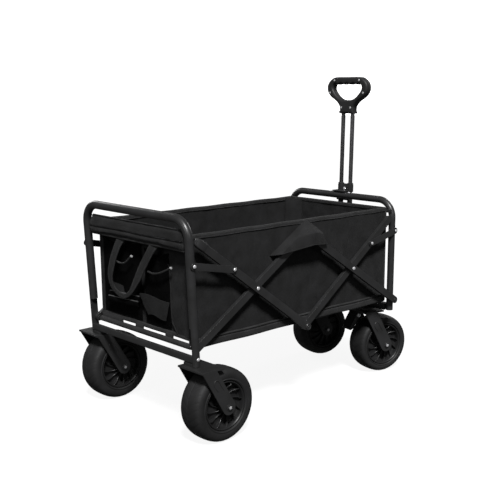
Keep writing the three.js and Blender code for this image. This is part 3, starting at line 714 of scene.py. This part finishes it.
def make_wheels():
    for side, label in SIDES:
        place = moved(REAR_WHEEL["x"], side * REAR_WHEEL["y"], 0)
        make_wheel(REAR_WHEEL, label, place, REAR_WHEEL["radius"], "rear",
                   {"wheel": f"rear_wheel_{label}", "fork": "chassis"})
        swivel = moved(CASTER["x"], side * CASTER["y"], 0) @ Matrix.Rotation(CASTER["yaw"], 4, "Z")
        place = swivel @ moved(CASTER["trail"], 0, 0)
        make_wheel(FRONT_WHEEL, label, place, FRONT_WHEEL["radius"], "front",
                   {"wheel": f"front_wheel_{label}", "fork": f"caster_{label}"})
        refined(f"brake_pedal_{label}", PLASTIC, f"brake_{label}", "plastic", 1.6)
        spring = Build()
        turns = np.linspace(0, SPRING["turns"] * 2 * np.pi, 150)
        coil = line_of(SPRING["x"] + SPRING["radius"] * np.cos(turns), -26 + 20 * turns / turns[-1] * 0.5,
                       SPRING["z"] + SPRING["radius"] * np.sin(turns))
        swept(spring, coil, circle(SPRING["wire"], 8), up=(0, 1, 0))
        for face in (1, -1):
            turned(spring, [(4.4, 0), (4.4, face * 1.4), (3.6, face * 2.4), (1.4, face * 3.0)],
                   (SPRING["x"], face * SPRING["y"], SPRING["z"]), sides=24)
        put(spring.piece(f"brake_spring_{label}", ZINC, swivel), f"brake_{label}", "steel")
        kingpin = Build()
        turned(kingpin, [(16.5, 200.2), (17.2, 201), (17.2, 202.4), (16, 203.4), (14.5, 203.7)], (0, 0, 0),
               axis="Z")
        put(kingpin.piece(f"caster_race_{label}", ZINC, swivel), f"caster_{label}", "steel")


# Pull handle
def grip_outline(grow=0.0):
    """The grip's outer line, shrunk by grow, as (y, z) points."""
    low, high, half = GRIP["low"], GRIP["high"], GRIP["half"]
    right = [(27, low - 3.5), (27, low + 8), (29, low + 19), (43, low + 33), (66, low + 47), (77, low + 60),
             (half, low + 73), (77.5, low + 85), (69, low + 95), (56, high - 2.2), (42, high), (16, high),
             (0, high)]
    line = smooth_line(right, 6)
    line = np.vstack([line, [(-y, z) for y, z in line[-2::-1]]])
    return inset(line, grow)


def grip_hole(grow=0.0):
    """The line of the finger hole, widened by grow, with a wavy top edge."""
    low, high = GRIP["low"] + 37, GRIP["low"] + 86
    half = [(0, low - 0.5), (17, low + 0.5), (31, low + 6), (43, low + 15), (53, low + 26), (57, low + 35),
            (54.5, high - 5), (47, high)]
    line = smooth_line(half, 6)
    top = [(y, high - 1.7 + 1.7 * math.cos(2 * math.pi * y / 25)) for y in np.arange(44, -1, -2.0)]
    line = np.vstack([line, top])
    line = np.vstack([line, [(-y, z) for y, z in line[-2:0:-1]]])
    return inset(line, -grow)


def inset(line, distance):
    """A closed outline moved inwards by that distance."""
    ahead = np.roll(line, -1, 0) - np.roll(line, 1, 0)
    ahead /= np.maximum(np.linalg.norm(ahead, axis=1), 1e-9)[:, None]
    area = 0.5 * np.sum(line[:, 0] * np.roll(line[:, 1], -1) - np.roll(line[:, 0], -1) * line[:, 1])
    inward = np.stack([-ahead[:, 1], ahead[:, 0]], 1) * (1 if area > 0 else -1)
    return line + inward * distance


def grip_shell(front):
    """Half of the grip, from the parting line to a face with wide round edges."""
    rounds = [(0.15, 0.7), (0.8, 0.0), (6.0, 0.0)]
    rounds += [(6.0 + 6.5 * math.sin(q), 6.5 * (1 - math.cos(q))) for q in np.radians((18, 36, 54, 72, 90))]
    shape = bmesh.new()
    sign = 1 if front else -1
    loops = {}
    for word, outline in (("outer", grip_outline), ("hole", grip_hole)):
        rings = []
        for depth, grow in rounds:
            line = outline(grow)
            rings.append([shape.verts.new((sign * depth * MM, y * MM, z * MM)) for y, z in line])
        for a, b in zip(rings, rings[1:]):
            for i in range(len(a)):
                j = (i + 1) % len(a)
                shape.faces.new((a[i], a[j], b[j], b[i]))
        loops[word] = rings
    for index in (0, -1):
        edges = []
        for word in ("outer", "hole"):
            ring = loops[word][index]
            for i in range(len(ring)):
                edges.append(shape.edges.get((ring[i], ring[(i + 1) % len(ring)])))
        bmesh.ops.triangle_fill(shape, use_beauty=True, use_dissolve=False, edges=edges)
    bmesh.ops.recalc_face_normals(shape, faces=shape.faces)
    return shape


def make_handle():
    lean = moved(HANDLE["x"], 0, HANDLE["z"]) @ Matrix.Rotation(HANDLE["lean"], 4, "Y")
    rod_places = (HANDLE["rod_y"], -HANDLE["rod_y"])
    for word, front in (("front", True), ("back", False)):
        shape = grip_shell(front)
        mesh = bpy.data.meshes.new(f"handle_grip_{word}_shell")
        shape.to_mesh(mesh)
        shape.free()
        mesh.transform(lean)
        shade(mesh, PLASTIC, 40)
        put(linked(mesh.name, mesh), "handle_inner", "plastic", f"handle_grip_{word}")
    screws = Build()
    for y, z in GRIP_SCREWS:
        for face in (1, -1):
            x = face * (GRIP["shell"] - 0.2)
            turned(screws, [(3.4, x), (3.4, x + face * 0.5), (2.7, x + face * 1.1), (1.1, x + face * 1.2)],
                   (0, y, z), axis="X", sides=20)
            turned(screws, [(1.2, x + face), (1.2, x + face * 1.35)], (0, y, z), axis="X", sides=6)
    put(screws.piece("handle_grip_screws", ZINC, lean), "handle_inner", "steel")
    rods = Build()
    for y in rod_places:
        turned(rods, [(5.2, 228), (6.25, 229), (6.25, 572), (5.2, 573)], (0, y, 0), axis="Z", sides=32)
    put(rods.piece("handle_rods_round", ROD, lean), "handle_inner", "rod", "handle_rods")
    sleeve = Build()
    for y in rod_places:
        turned(sleeve, [(6.7, 10), (8, 10), (8, 322.5), (6.7, 322.5)], (0, y, 0), axis="Z", sides=32,
               closed=True)
        turned(sleeve, [(9.6, 6), (10.4, 7), (10.4, 30), (9.6, 31.5), (7.9, 32)], (0, y, 0), axis="Z",
               sides=32)
    turned(sleeve, rod(7.3, -28, 28), (0, 0, 0), sides=32)
    collar = np.array(rounded(COLLAR["width"], COLLAR["height"], 3, 6))
    points = []
    for depth, grow in ((-5.4, 1.4), (-4.9, 0.4), (-4.2, 0), (4.2, 0), (4.9, 0.4), (5.4, 1.4)):
        points += [(depth, y, COLLAR["z"] + z) for y, z in inset(collar, grow)]
    sleeve.add(points, capped(6, len(collar)))
    for y in rod_places:
        turned(sleeve, [(7.9, 327), (9.4, 328), (9.8, 329), (9.8, 350)], (0, y, 0), axis="Z", sides=32)
        turned(sleeve, [(9.2, 351), (9.2, 354.2), (8.2, 355.2), (6.9, 355.2)], (0, y, 0), axis="Z", sides=32)
    put(sleeve.piece("handle_sleeve_round", COAT, lean), "handle_outer", "coat", "handle_sleeve")
    button = Build()
    for face in (1, -1):
        turned(button, [(4.4, face * 5.2), (4.4, face * 6.6), (3.6, face * 7.6), (1.6, face * 8)],
               (0, 0, 337.5), axis="X", sides=28)
    put(button.piece("handle_collar_screw", ZINC, lean), "handle_outer", "steel")
    refined("handle_hinge_bracket", COAT, "front_end", "coat", 0.8)
    refined("handle_clip", PLASTIC, "front_end", "plastic", 1.2)
    half = ((5.2, 37), (6.6, 36), (7, 34.8), (7, 33.6), (4, 33.5))
    profile = [(r, -y) for r, y in half] + list(reversed(half))
    pin = turned(Build(), profile, (HANDLE["x"], 0, HANDLE["z"]), sides=32)
    put(pin.piece("handle_hinge_pin_turned", ZINC), "front_end", "steel", "handle_hinge_pin")


# Fabric
def fold_away(*pieces):
    """Gives each piece its own copy of its mesh."""
    for piece in pieces:
        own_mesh(piece)


def wall_surface(side, seed):
    """A long wall, with soft folds, creases from its corners and a slight belly."""
    corners = ((BASKET["rear"], BASKET["high"], -0.7), (BASKET["front"], BASKET["high"], 0.7),
               (BASKET["rear"], BASKET["low"], 0.8), (BASKET["front"], BASKET["low"], -0.8))

    def surface(u, v):
        x = between(BASKET["rear"], BASKET["front"], u)
        z = between(BASKET["low"], BASKET["high"], v)
        held = np.sin(np.pi * np.clip(v, 0, 1)) ** 0.6 * np.clip(np.minimum(u, 1 - u) / 0.05, 0, 1)
        folds = 3.4 * ripple(x, z * 0.8, seed, 250) + 1.3 * ripple(x * 1.3, z * 0.5, seed + 2, 85)
        for corner_x, corner_z, lean in corners:
            reach = np.hypot(x - corner_x, z - corner_z)
            crease = np.sin((x - corner_x) * 0.13 + (z - corner_z) * 0.13 * lean)
            folds = folds + 1.6 * np.exp(-reach / 70) * crease
        belly = 4.5 * np.sin(np.pi * v) * np.sin(np.pi * u) ** 0.5
        y = WALL_Y + held * (folds + belly)
        return x, side * y, z
    return surface


def make_side_walls():
    for side, label in SIDES:
        wall = sheet(Build(), wall_surface(side, 1.3 + side * 0.4), 150, 60, 2.6)
        wall = wall.piece(f"side_wall_{label}_cloth", CANVAS, angle=60)
        put(wall, "chassis", "canvas", f"side_wall_{label}")
        trims = Build()
        x = np.linspace(BASKET["rear"] - 1, BASKET["front"] + 2, 90)
        rim = line_of(x, side * WALL_Y, BASKET["high"] - 5 + 0.5 * np.sin(x * 0.045))
        swept(trims, rim, rounded(7.4, 13, 3))
        hem = line_of(x, side * HEM["y"], HEM["z"] + 0.8 * np.sin(x * 0.03 + side))
        swept(trims, hem, rounded(14, 21, 6, 5))
        swept(trims, hem + np.array([0, side * 0.6, 12.2]), rounded(14, 3.6, 1.6))
        hems = put(trims.piece(f"side_hem_{label}", BINDING, angle=50), "chassis", "canvas")
        thread = Build()
        for rise in (2.6, -3.4):
            for face in (side, -side):
                stitches(thread, rim + np.array([0, face * 3.9, rise]), (0, face, 0))
        stitches(thread, hem + np.array([0, side * 7.2, 6]), (0, side, 0))
        stitched = put(thread.piece(f"side_stitching_{label}", THREAD, flat=True), "chassis", "webbing")
        fold_away(wall, hems, stitched)


CAP_LOW = ((-157, 199, 436), (-141, 226, 441), (-33, 241, 455), (22, 235, 450), (31, 199, 452))
CAP_HIGH = tuple((x, 197.4, 513) for x in (-30, -26, -22, -18, -15))
CAP_STEPS = 14


def make_joint_caps():
    """The cloth hoods over the upper centre joints: two flat facets that meet in a fold."""
    spread = np.arange(0, len(CAP_LOW) - 1 + 1e-9, 1 / CAP_STEPS)
    corners = range(len(CAP_LOW))
    low, high = (np.stack([np.interp(spread, corners, values) for values in zip(*line)], 1)
                 for line in (CAP_LOW, CAP_HIGH))
    for side, label in SIDES:
        def surface(u, v, side=side):
            index = np.minimum((u * (len(low) - 1) + 0.5).astype(int), len(low) - 1)
            bottom, top = low[index], high[index]
            out = np.clip(v / 0.46, 0, 1) ** 0.85
            x = between(top[..., 0], bottom[..., 0], v)
            y = between(top[..., 1], bottom[..., 1], out)
            z = between(top[..., 2], bottom[..., 2], v)
            return x, side * (y + 0.8 * np.sin(v * np.pi) * np.sin(u * 11)), z
        cap = sheet(Build(), surface, len(low) - 1, 30, 1.8)
        edge = np.stack([low[:, 0], side * (low[:, 1] + 0.2), low[:, 2] + 0.5], 1)
        swept(cap, edge[2:-2], circle(1.7, 10), up=(0, 0, 1))
        made = cap.piece(f"joint_cap_{label}", CANVAS, angle=30)
        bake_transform(made)


def make_floor():
    def surface(u, v):
        x = between(BASKET["rear"], BASKET["front"], u)
        y = -190 + 380 * v
        panel = np.abs(((u * 4) % 1) - 0.5) * 2
        seam = -1.8 * np.exp(-((1 - panel) / 0.03) ** 2) * (u > 0.02) * (u < 0.98)
        return x, y, BASKET["floor"] + seam + 0.5 * ripple(x, y, 4.2, 120)
    floor = sheet(Build(), surface, 180, 60, 6).piece("floor_cloth", CANVAS_LEVEL, angle=60)
    put(floor, "chassis", "canvas", "floor")
    trims = Build()
    for side in (1, -1):
        x = np.linspace(BASKET["rear"] + 2, BASKET["front"] - 2, 60)
        swept(trims, line_of(x, side * 188.5, BASKET["floor"] + 3.6), circle(2.2, 12))
    piping = put(trims.piece("floor_piping", BINDING), "chassis", "canvas")
    fold_away(floor, piping)


def end_wall(x, low, seed, outward):
    def surface(u, v):
        y = END_WALL_HALF * (2 * u - 1)
        z = between(low, BASKET["high"], v)
        held = np.sin(np.pi * v) ** 0.6 * np.clip(np.minimum(u, 1 - u) / 0.06, 0, 1)
        folds = 2.8 * ripple(y, z * 0.7, seed, 190) + 1.2 * ripple(y, z, seed + 1, 70)
        folds = folds + 2.5 * np.sin(np.pi * v)
        return x + outward * held * folds, y, z
    return surface


def make_end_walls():
    front = sheet(Build(), end_wall(FRONT_WALL_X, 243, 5.1, -1), 80, 60, 2.4)
    front = front.piece("front_wall_cloth", CANVAS, angle=60)
    put(front, "front_end", "canvas", "front_wall")
    rear = sheet(Build(), end_wall(REAR_WALL_X, 262, 7.7, 1), 80, 60, 2.4)
    rear = rear.piece("rear_wall_cloth", CANVAS, angle=60)
    put(rear, "chassis", "canvas", "rear_wall")
    trims = Build()
    y = np.linspace(-WALL_Y, WALL_Y, 60)
    swept(trims, line_of(FRONT_WALL_X, y, BASKET["high"] - 4), rounded(7, 12, 3))
    swept(trims, line_of(FRONT_WALL_X, y, 246), rounded(8, 14, 3.5))
    z = np.linspace(240, BASKET["high"], 40)
    for side in (1, -1):
        edge = line_of(FRONT_WALL_X + 1.5, side * (CORNER_Y + 0.5), z)
        swept(trims, edge, circle(CORNER_CORD, 14), up=(1, 0, 0))
    put(trims.piece("front_trim", BINDING, angle=50), "front_end", "canvas")
    # Inner corner folds of the front wall, and the cloth loops that hold the basket to the front posts
    folds = Build()
    loops = Build()
    for side in (1, -1):
        def gusset(u, v, side=side):
            x = 282 + 30 * u
            return x, side * (190 - 44 * u + 3 * np.sin(v * 5)), 268 + 246 * v
        sheet(folds, gusset, 16, 30, 1.8)
        post = np.array([FRONT_FRAME["top_x"], side * FRONT_FRAME["y"]])
        ring = TUBE_RADIUS + 1.0
        around = [(post[0] + ring * math.cos(q), post[1] + side * ring * math.sin(q))
                  for q in np.radians(np.linspace(150, 262, 12))]
        path = [(317, side * 196), *around, (324, side * 188)]
        swept(loops, smooth_line([(a, b, 508) for a, b in path], 3), rounded(1.4, 10, 0.6))
    corners = put(folds.piece("front_corner_folds", CANVAS, angle=60), "front_end", "canvas")
    put(loops.piece("front_corner_loops", WEBBING, angle=50), "front_end", "webbing")


def make_rear_trim():
    trims = Build()
    y = np.linspace(-196, 196, 80)
    # Lower band of the wall, the sleeve on the floor tube, and the bridges between them with slits left open
    swept(trims, line_of(-412, y, 261.0 + 0.4 * np.sin(y * 0.04)), rounded(7, 11, 3))
    swept(trims, line_of(-417, y * 0.985, 243.6), circle(7.2, 24))
    for low, high in ((97, 190), (5, 37), (-120, -91), (-190, -186)):
        swept(trims, [(-414.5, low, 254.5), (-414.5, high, 254.5)], rounded(4, 14, 1.8))
    z = np.linspace(258, BASKET["high"] + 2, 40)
    for side in (1, -1):
        swept(trims, line_of(REAR_WALL_X - 1, side * CORNER_Y, z), circle(CORNER_CORD, 14), up=(1, 0, 0))
    put(trims.piece("rear_trim", BINDING, angle=50), "chassis", "canvas")

    # Cloth that runs from the basket's rear edge up to the padded flap
    def slope(u, v):
        y = -196 + 392 * u
        x = -407 - 29 * v
        return x, y, BASKET["high"] - 1 + 14 * v - 3 * np.sin(np.pi * v) + 0.8 * ripple(y, x, 2.2, 70)
    top = sheet(Build(), slope, 80, 12, 2.0).piece("rear_top_cloth", CANVAS, angle=60)
    put(top, "chassis", "canvas")

    # Canvas panels at both rear corners, with a curved inner edge
    panels = Build()
    edge_z = (263, 290, 330, 380, 432, 455, 483)
    edge_y = (-142, -120, -116, -116, -112, -92, -62)

    def right_panel(u, v):
        z = between(PANEL["low"], PANEL["high"], v)
        y = between(-PANEL["outer"], np.interp(z, edge_z, edge_y), u)
        bulge = 3.0 * np.sin(np.pi * u) * np.sin(np.pi * v)
        return PANEL["x"] - bulge - 1.2 * ripple(y, z, 3.3, 90), y, z

    def left_panel(u, v):
        z = between(PANEL["low"], PANEL["high"], v)
        y = PANEL["outer"] - (14 + 7 * np.exp(-((z - PANEL["high"]) / 60) ** 2)) * u
        return PANEL["x"], y, z
    sheet(panels, right_panel, 36, 60, 2.0)
    sheet(panels, left_panel, 8, 60, 2.0)
    z = np.linspace(264, 482, 60)
    swept(panels, line_of(-415, np.interp(z, edge_z, edge_y), z), circle(1.6, 10), up=(1, 0, 0))
    corners = put(panels.piece("rear_corner_panels", CANVAS, angle=60), "chassis", "canvas")


def pocket_surface(low, high, bottom, top, seed, fullness):
    def surface(u, v):
        y = between(low, high, u)
        z = between(bottom, top, v)
        bulge = np.sin(np.pi * u) ** 0.7 * (0.35 + 0.65 * v) * np.clip(v / 0.08, 0, 1)
        folds = ripple(y, z, seed, 60) * 1.4 * np.sin(np.pi * u)
        return -413.6 - fullness * bulge - folds, y, z - 9 * np.sin(np.pi * u) * v**4
    return surface


def make_pockets():
    for label, low, high, bottom, top, seed in (("left", 8, 176, 272, 470, 1.1),
                                                ("right", -114, -10, 272, 462, 2.6)):
        surface = pocket_surface(low, high, bottom, top, seed, 8.5)
        pocket = sheet(Build(), surface, 60, 60, 1.4)
        u = np.linspace(0, 1, 40)
        swept(pocket, line_of(*surface(u, np.ones_like(u))), circle(2.4, 12))
        made = pocket.piece(f"rear_pocket_{label}_mesh", MESH, angle=60)
        put(made, "chassis", "canvas", f"rear_pocket_{label}")
    # Folded patches of canvas on the pockets
    patches = Build()

    def small_patch(u, v):
        y = 119 - (52 - 10 * v) * u
        z = 322 + 37 * v - 6 * u * v
        return -425.5 - 2 * np.sin(3 * u + 2 * v), y, z

    def folded_patch(u, v):
        left = 4 - 34 * (1 - v)
        right = -118 + 16 * (1 - v)
        y = between(left, right, u)
        z = 296 + 50 * v + 4 * np.sin(5 * u)
        return -421 - 7 * np.abs(np.sin(2.6 * u + 0.5)) * (0.5 + 0.5 * v), y, z
    sheet(patches, small_patch, 20, 20, 1.6)
    sheet(patches, folded_patch, 40, 24, 1.8)
    patched = put(patches.piece("rear_pocket_patches", CANVAS, angle=60), "chassis", "canvas")
    # Tool pouch under the strap: two soft layers with taped edges
    pouch, tape = Build(), Build()
    for rise, depth in ((0, 0), (13, 4.5)):
        def layer(u, v, rise=rise, depth=depth):
            y = POUCH["left"] - POUCH["width"] * u
            z = POUCH["low"] + rise + 14 * v + 5 * u
            return POUCH["x"] + depth - 3.4 * np.sin(np.pi * v) ** 0.7 - 0.8 * np.sin(11 * u), y, z
        sheet(pouch, layer, 40, 12, 3.4)
        y = np.linspace(POUCH["left"], POUCH["left"] - POUCH["width"], 40)
        slope = 5 * (POUCH["left"] - y) / POUCH["width"]
        swept(tape, line_of(POUCH["x"] - 2 + depth, y, POUCH["low"] + 14.4 + rise + slope), circle(1.5, 10))
    pouch = put(pouch.piece("rear_tool_pouch", MESH, angle=60), "chassis", "canvas")
    put(tape.piece("rear_tool_pouch_tape", THREAD), "chassis", "webbing")


def make_straps():
    strap = Build()
    line = [(-440.5 - 1.6 * math.sin(0.9 * i), y, z) for i, (y, z) in enumerate(STRAP_LINE)]
    middle = smooth_line([STRAP_ENDS[0], *line, STRAP_ENDS[1]], 6)
    # The strap is flat under the flap and gathered to half its width at the bottom of the loop
    share = np.clip((middle[:, 2] - STRAP_WIDTH["low_z"]) / STRAP_WIDTH["rise"], 0, 1)
    widths = between(STRAP_WIDTH["low"], STRAP_WIDTH["high"], share * share * (3 - 2 * share))
    sections = [rounded(width, 1.9 + (STRAP_WIDTH["high"] - width) * 0.16, 0.9) for width in widths]
    swept(strap, middle, sections, up=(1, 0, 0))
    made = put(strap.piece("carry_strap", WEBBING, angle=50), "chassis", "webbing", "carry_loop")
    edges = Build()
    tangent = np.gradient(middle, axis=0)
    tangent /= np.linalg.norm(tangent, axis=1)[:, None]
    across = np.cross(tangent, (1, 0, 0))
    for edge in (0.38, -0.38):
        line = middle + across * (edge * widths)[:, None] + np.array([-1.4, 0, 0])
        stitches(edges, line, (-1, 0, 0), pitch=4.5, length=3)
    put(edges.piece("carry_strap_stitching", THREAD, flat=True), "chassis", "webbing")
    # Pull tabs on the pockets, with a steel ring crimped on the end
    tabs, rings = Build(), Build()
    for points in PULL_TABS:
        line = smooth_line(points, 8)
        swept(tabs, line, circle(2.6, 14))
        end = line[-1]
        turned(rings, [(2.7, -2.6), (3.1, -2.0), (3.1, 2.0), (2.7, 2.6)], tuple(end), sides=20)
    put(tabs.piece("rear_pull_tabs", WEBBING), "chassis", "webbing")
    put(rings.piece("rear_pull_tab_ends", ZINC), "chassis", "steel")


def flap_middle(z):
    """The flap stands out furthest at its seam, and its top leans back to the basket."""
    return np.interp(z, (483, 492, 503, 532), (-438, -441, -442, -433.5))


def flap_shape():
    """The flap's plain closed form, before it swells."""
    build = Build()

    def band(y):
        share = min(1.0, (FLAP["left"] - y) / 16, 0.86 + (FLAP["right"] + y) / 30)
        return FLAP["middle_z"] - FLAP["half"] * share, FLAP["middle_z"] + FLAP["half"] * share
    stations = np.concatenate([np.linspace(-FLAP["right"], -198, 5), np.linspace(-192, 176, 60),
                               np.linspace(184, 199, 6)])
    rings = []
    for y in stations:
        low, high = band(y)
        middle, half = (low + high) / 2, (high - low) / 2
        thick = FLAP["thick"] * min(1.0, half / 14)
        for a, b in rounded(2 * thick, 2 * half, min(thick, half) * 0.9, 5):
            rings.append((flap_middle(middle + b) + a, y, middle + b))
    return build.add(rings, capped(len(stations), len(rings) // len(stations)))


def applied(obj):
    """The object's mesh with its modifiers applied."""
    depsgraph = bpy.context.evaluated_depsgraph_get()
    return bpy.data.meshes.new_from_object(obj.evaluated_get(depsgraph))


def swell(obj, limit, pressure=4.0, frames=20):
    """Remeshes a piece and lets it swell as stuffed cloth; no point moves further than limit."""
    cut = np.array([v.co for v in obj.data.vertices])
    cut_low, cut_high = cut.min(0), cut.max(0)
    remesh = obj.modifiers.new("remesh", "REMESH")
    remesh.mode = "VOXEL"
    remesh.voxel_size = 0.004
    bpy.context.view_layer.update()
    obj.data = applied(obj)
    obj.modifiers.clear()
    before = np.array([v.co for v in obj.data.vertices])
    cloth = obj.modifiers.new("cloth", "CLOTH")
    cloth.settings.use_pressure = True
    cloth.settings.uniform_pressure_force = pressure
    cloth.settings.effector_weights.gravity = 0
    scene = bpy.context.scene
    for number in range(1, frames + 1):
        scene.frame_set(number)
    after = np.array([v.co for v in applied(obj).vertices])
    obj.modifiers.clear()
    scene.frame_set(1)
    move = after - before
    far = np.linalg.norm(move, axis=1)
    move *= np.minimum(1, limit * MM / np.maximum(far, 1e-9))[:, None]
    swollen = before + move
    # The stuffed piece keeps the width and height that it was cut to
    for axis in (1, 2):
        low, high = swollen[:, axis].min(), swollen[:, axis].max()
        share = (swollen[:, axis] - low) / (high - low)
        swollen[:, axis] = between(cut_low[axis], cut_high[axis], share)
    obj.data.vertices.foreach_set("co", swollen.ravel())
    smooth = obj.modifiers.new("finer", "SUBSURF")
    smooth.levels = smooth.render_levels = 1
    bpy.context.view_layer.update()
    obj.data = applied(obj)
    obj.modifiers.clear()
    return obj


def make_flap():
    flap = flap_shape().piece("rear_flap_padded", CANVAS, angle=60)
    swell(flap, 3.0)
    co = np.array([v.co for v in flap.data.vertices]) / MM
    seam_z = FLAP["seam_z"] + 0.8 * np.sin(co[:, 1] * 0.03)
    outer = co[:, 0] < flap_middle(co[:, 2])
    groove = 3.6 * np.exp(-((co[:, 2] - seam_z) / 2.2) ** 2) * outer
    soft = 0.9 * ripple(co[:, 1], co[:, 2] * 1.4, 6.6, 80) * outer
    co[:, 0] += groove + soft
    co[:, 0] = np.clip(co[:, 0], -449, -428)
    flap.data.vertices.foreach_set("co", (co * MM).ravel())
    flap.data.update()
    flap.data.materials.clear()
    flap.data.materials.append(CANVAS)
    flap.data.shade_smooth()
    put(flap, "chassis", "canvas", "rear_flap")
    trims = Build()
    y = np.linspace(-202, 184, 70)
    swept(trims, line_of(-439.5, y, 484.5), rounded(5, 6, 2))
    swept(trims, line_of(-437, y, 532.4), circle(2.0, 12))
    put(trims.piece("rear_flap_piping", BINDING, angle=50), "chassis", "canvas")
    thread = Build()
    for row in FLAP_STITCH["rows"]:
        stitches(thread, line_of(FLAP_STITCH["x"], y, row + 0.8 * np.sin(y * 0.03)), (-1, 0, 0))
    put(thread.piece("rear_flap_stitching", THREAD, flat=True), "chassis", "webbing")


make_frames()
make_scissor()
make_wheels()
make_handle()
make_side_walls()
make_joint_caps()
make_floor()
make_end_walls()
make_rear_trim()
make_pockets()
make_straps()
make_flap()


# Studio
def stage_piece(name, build, look):
    made = build.piece(name, look, Matrix.Scale(1 / MM, 4))
    return made


def make_studio():
    paper = Look("studio_paper", 0.9, Emission_Strength=0.9, Specular_IOR_Level=0.0)
    paper.colour(paper.noise(0.3, 1), grey(0.12), grey(0.14))
    paper.shader.inputs["Emission Color"].default_value = (1, 1, 1, 1)
    size = BACKDROP_RADIUS
    corners = [(-size, -size, 0), (size, -size, 0), (size, size, 0), (-size, size, 0)]
    ground = Build().add(corners, [[0, 1, 2, 3]])
    floor = stage_piece("studio_floor", ground, paper.material)
    glow = Look("studio_backdrop", 1.0, Emission_Strength=1.0)
    glow.shader.inputs["Emission Color"].default_value = (1, 1, 1, 1)
    steps = np.radians(np.linspace(1, 179, 24))
    ball = turned(Build(), [(size * math.sin(q), -size * math.cos(q)) for q in steps], (0, 0, 0), axis="Z")
    backdrop = stage_piece("studio_backdrop", ball, glow.material)
    for surround in (floor, backdrop):
        surround.visible_diffuse = False
        surround.visible_glossy = False
        surround.visible_transmission = False
        surround.visible_shadow = False
    world = bpy.data.worlds.new("studio")
    world.use_nodes = True
    world.node_tree.nodes["Background"].inputs["Color"].default_value = (1, 1, 1, 1)
    world.node_tree.nodes["Background"].inputs["Strength"].default_value = WORLD_LIGHT
    bpy.context.scene.world = world
    bpy.context.scene.view_settings.view_transform = "Standard"
    sun = bpy.data.lights.new("sun", "SUN")
    sun.energy = SUN_POWER
    sun.angle = SUN_ANGLE
    lamps = [("sun", sun, SUN_FROM)]
    for name, place, power in LAMPS:
        lamp = bpy.data.lights.new(name, "AREA")
        lamp.shape = "DISK"
        lamp.size = LAMP_SIZE
        lamp.energy = power
        lamps.append((name, lamp, place))
    for name, light, place in lamps:
        lamp = linked(name, light)
        lamp.location = place
        lamp.rotation_euler = (Vector(LIT_POINT) - Vector(place)).to_track_quat("-Z", "Y").to_euler()


make_studio()
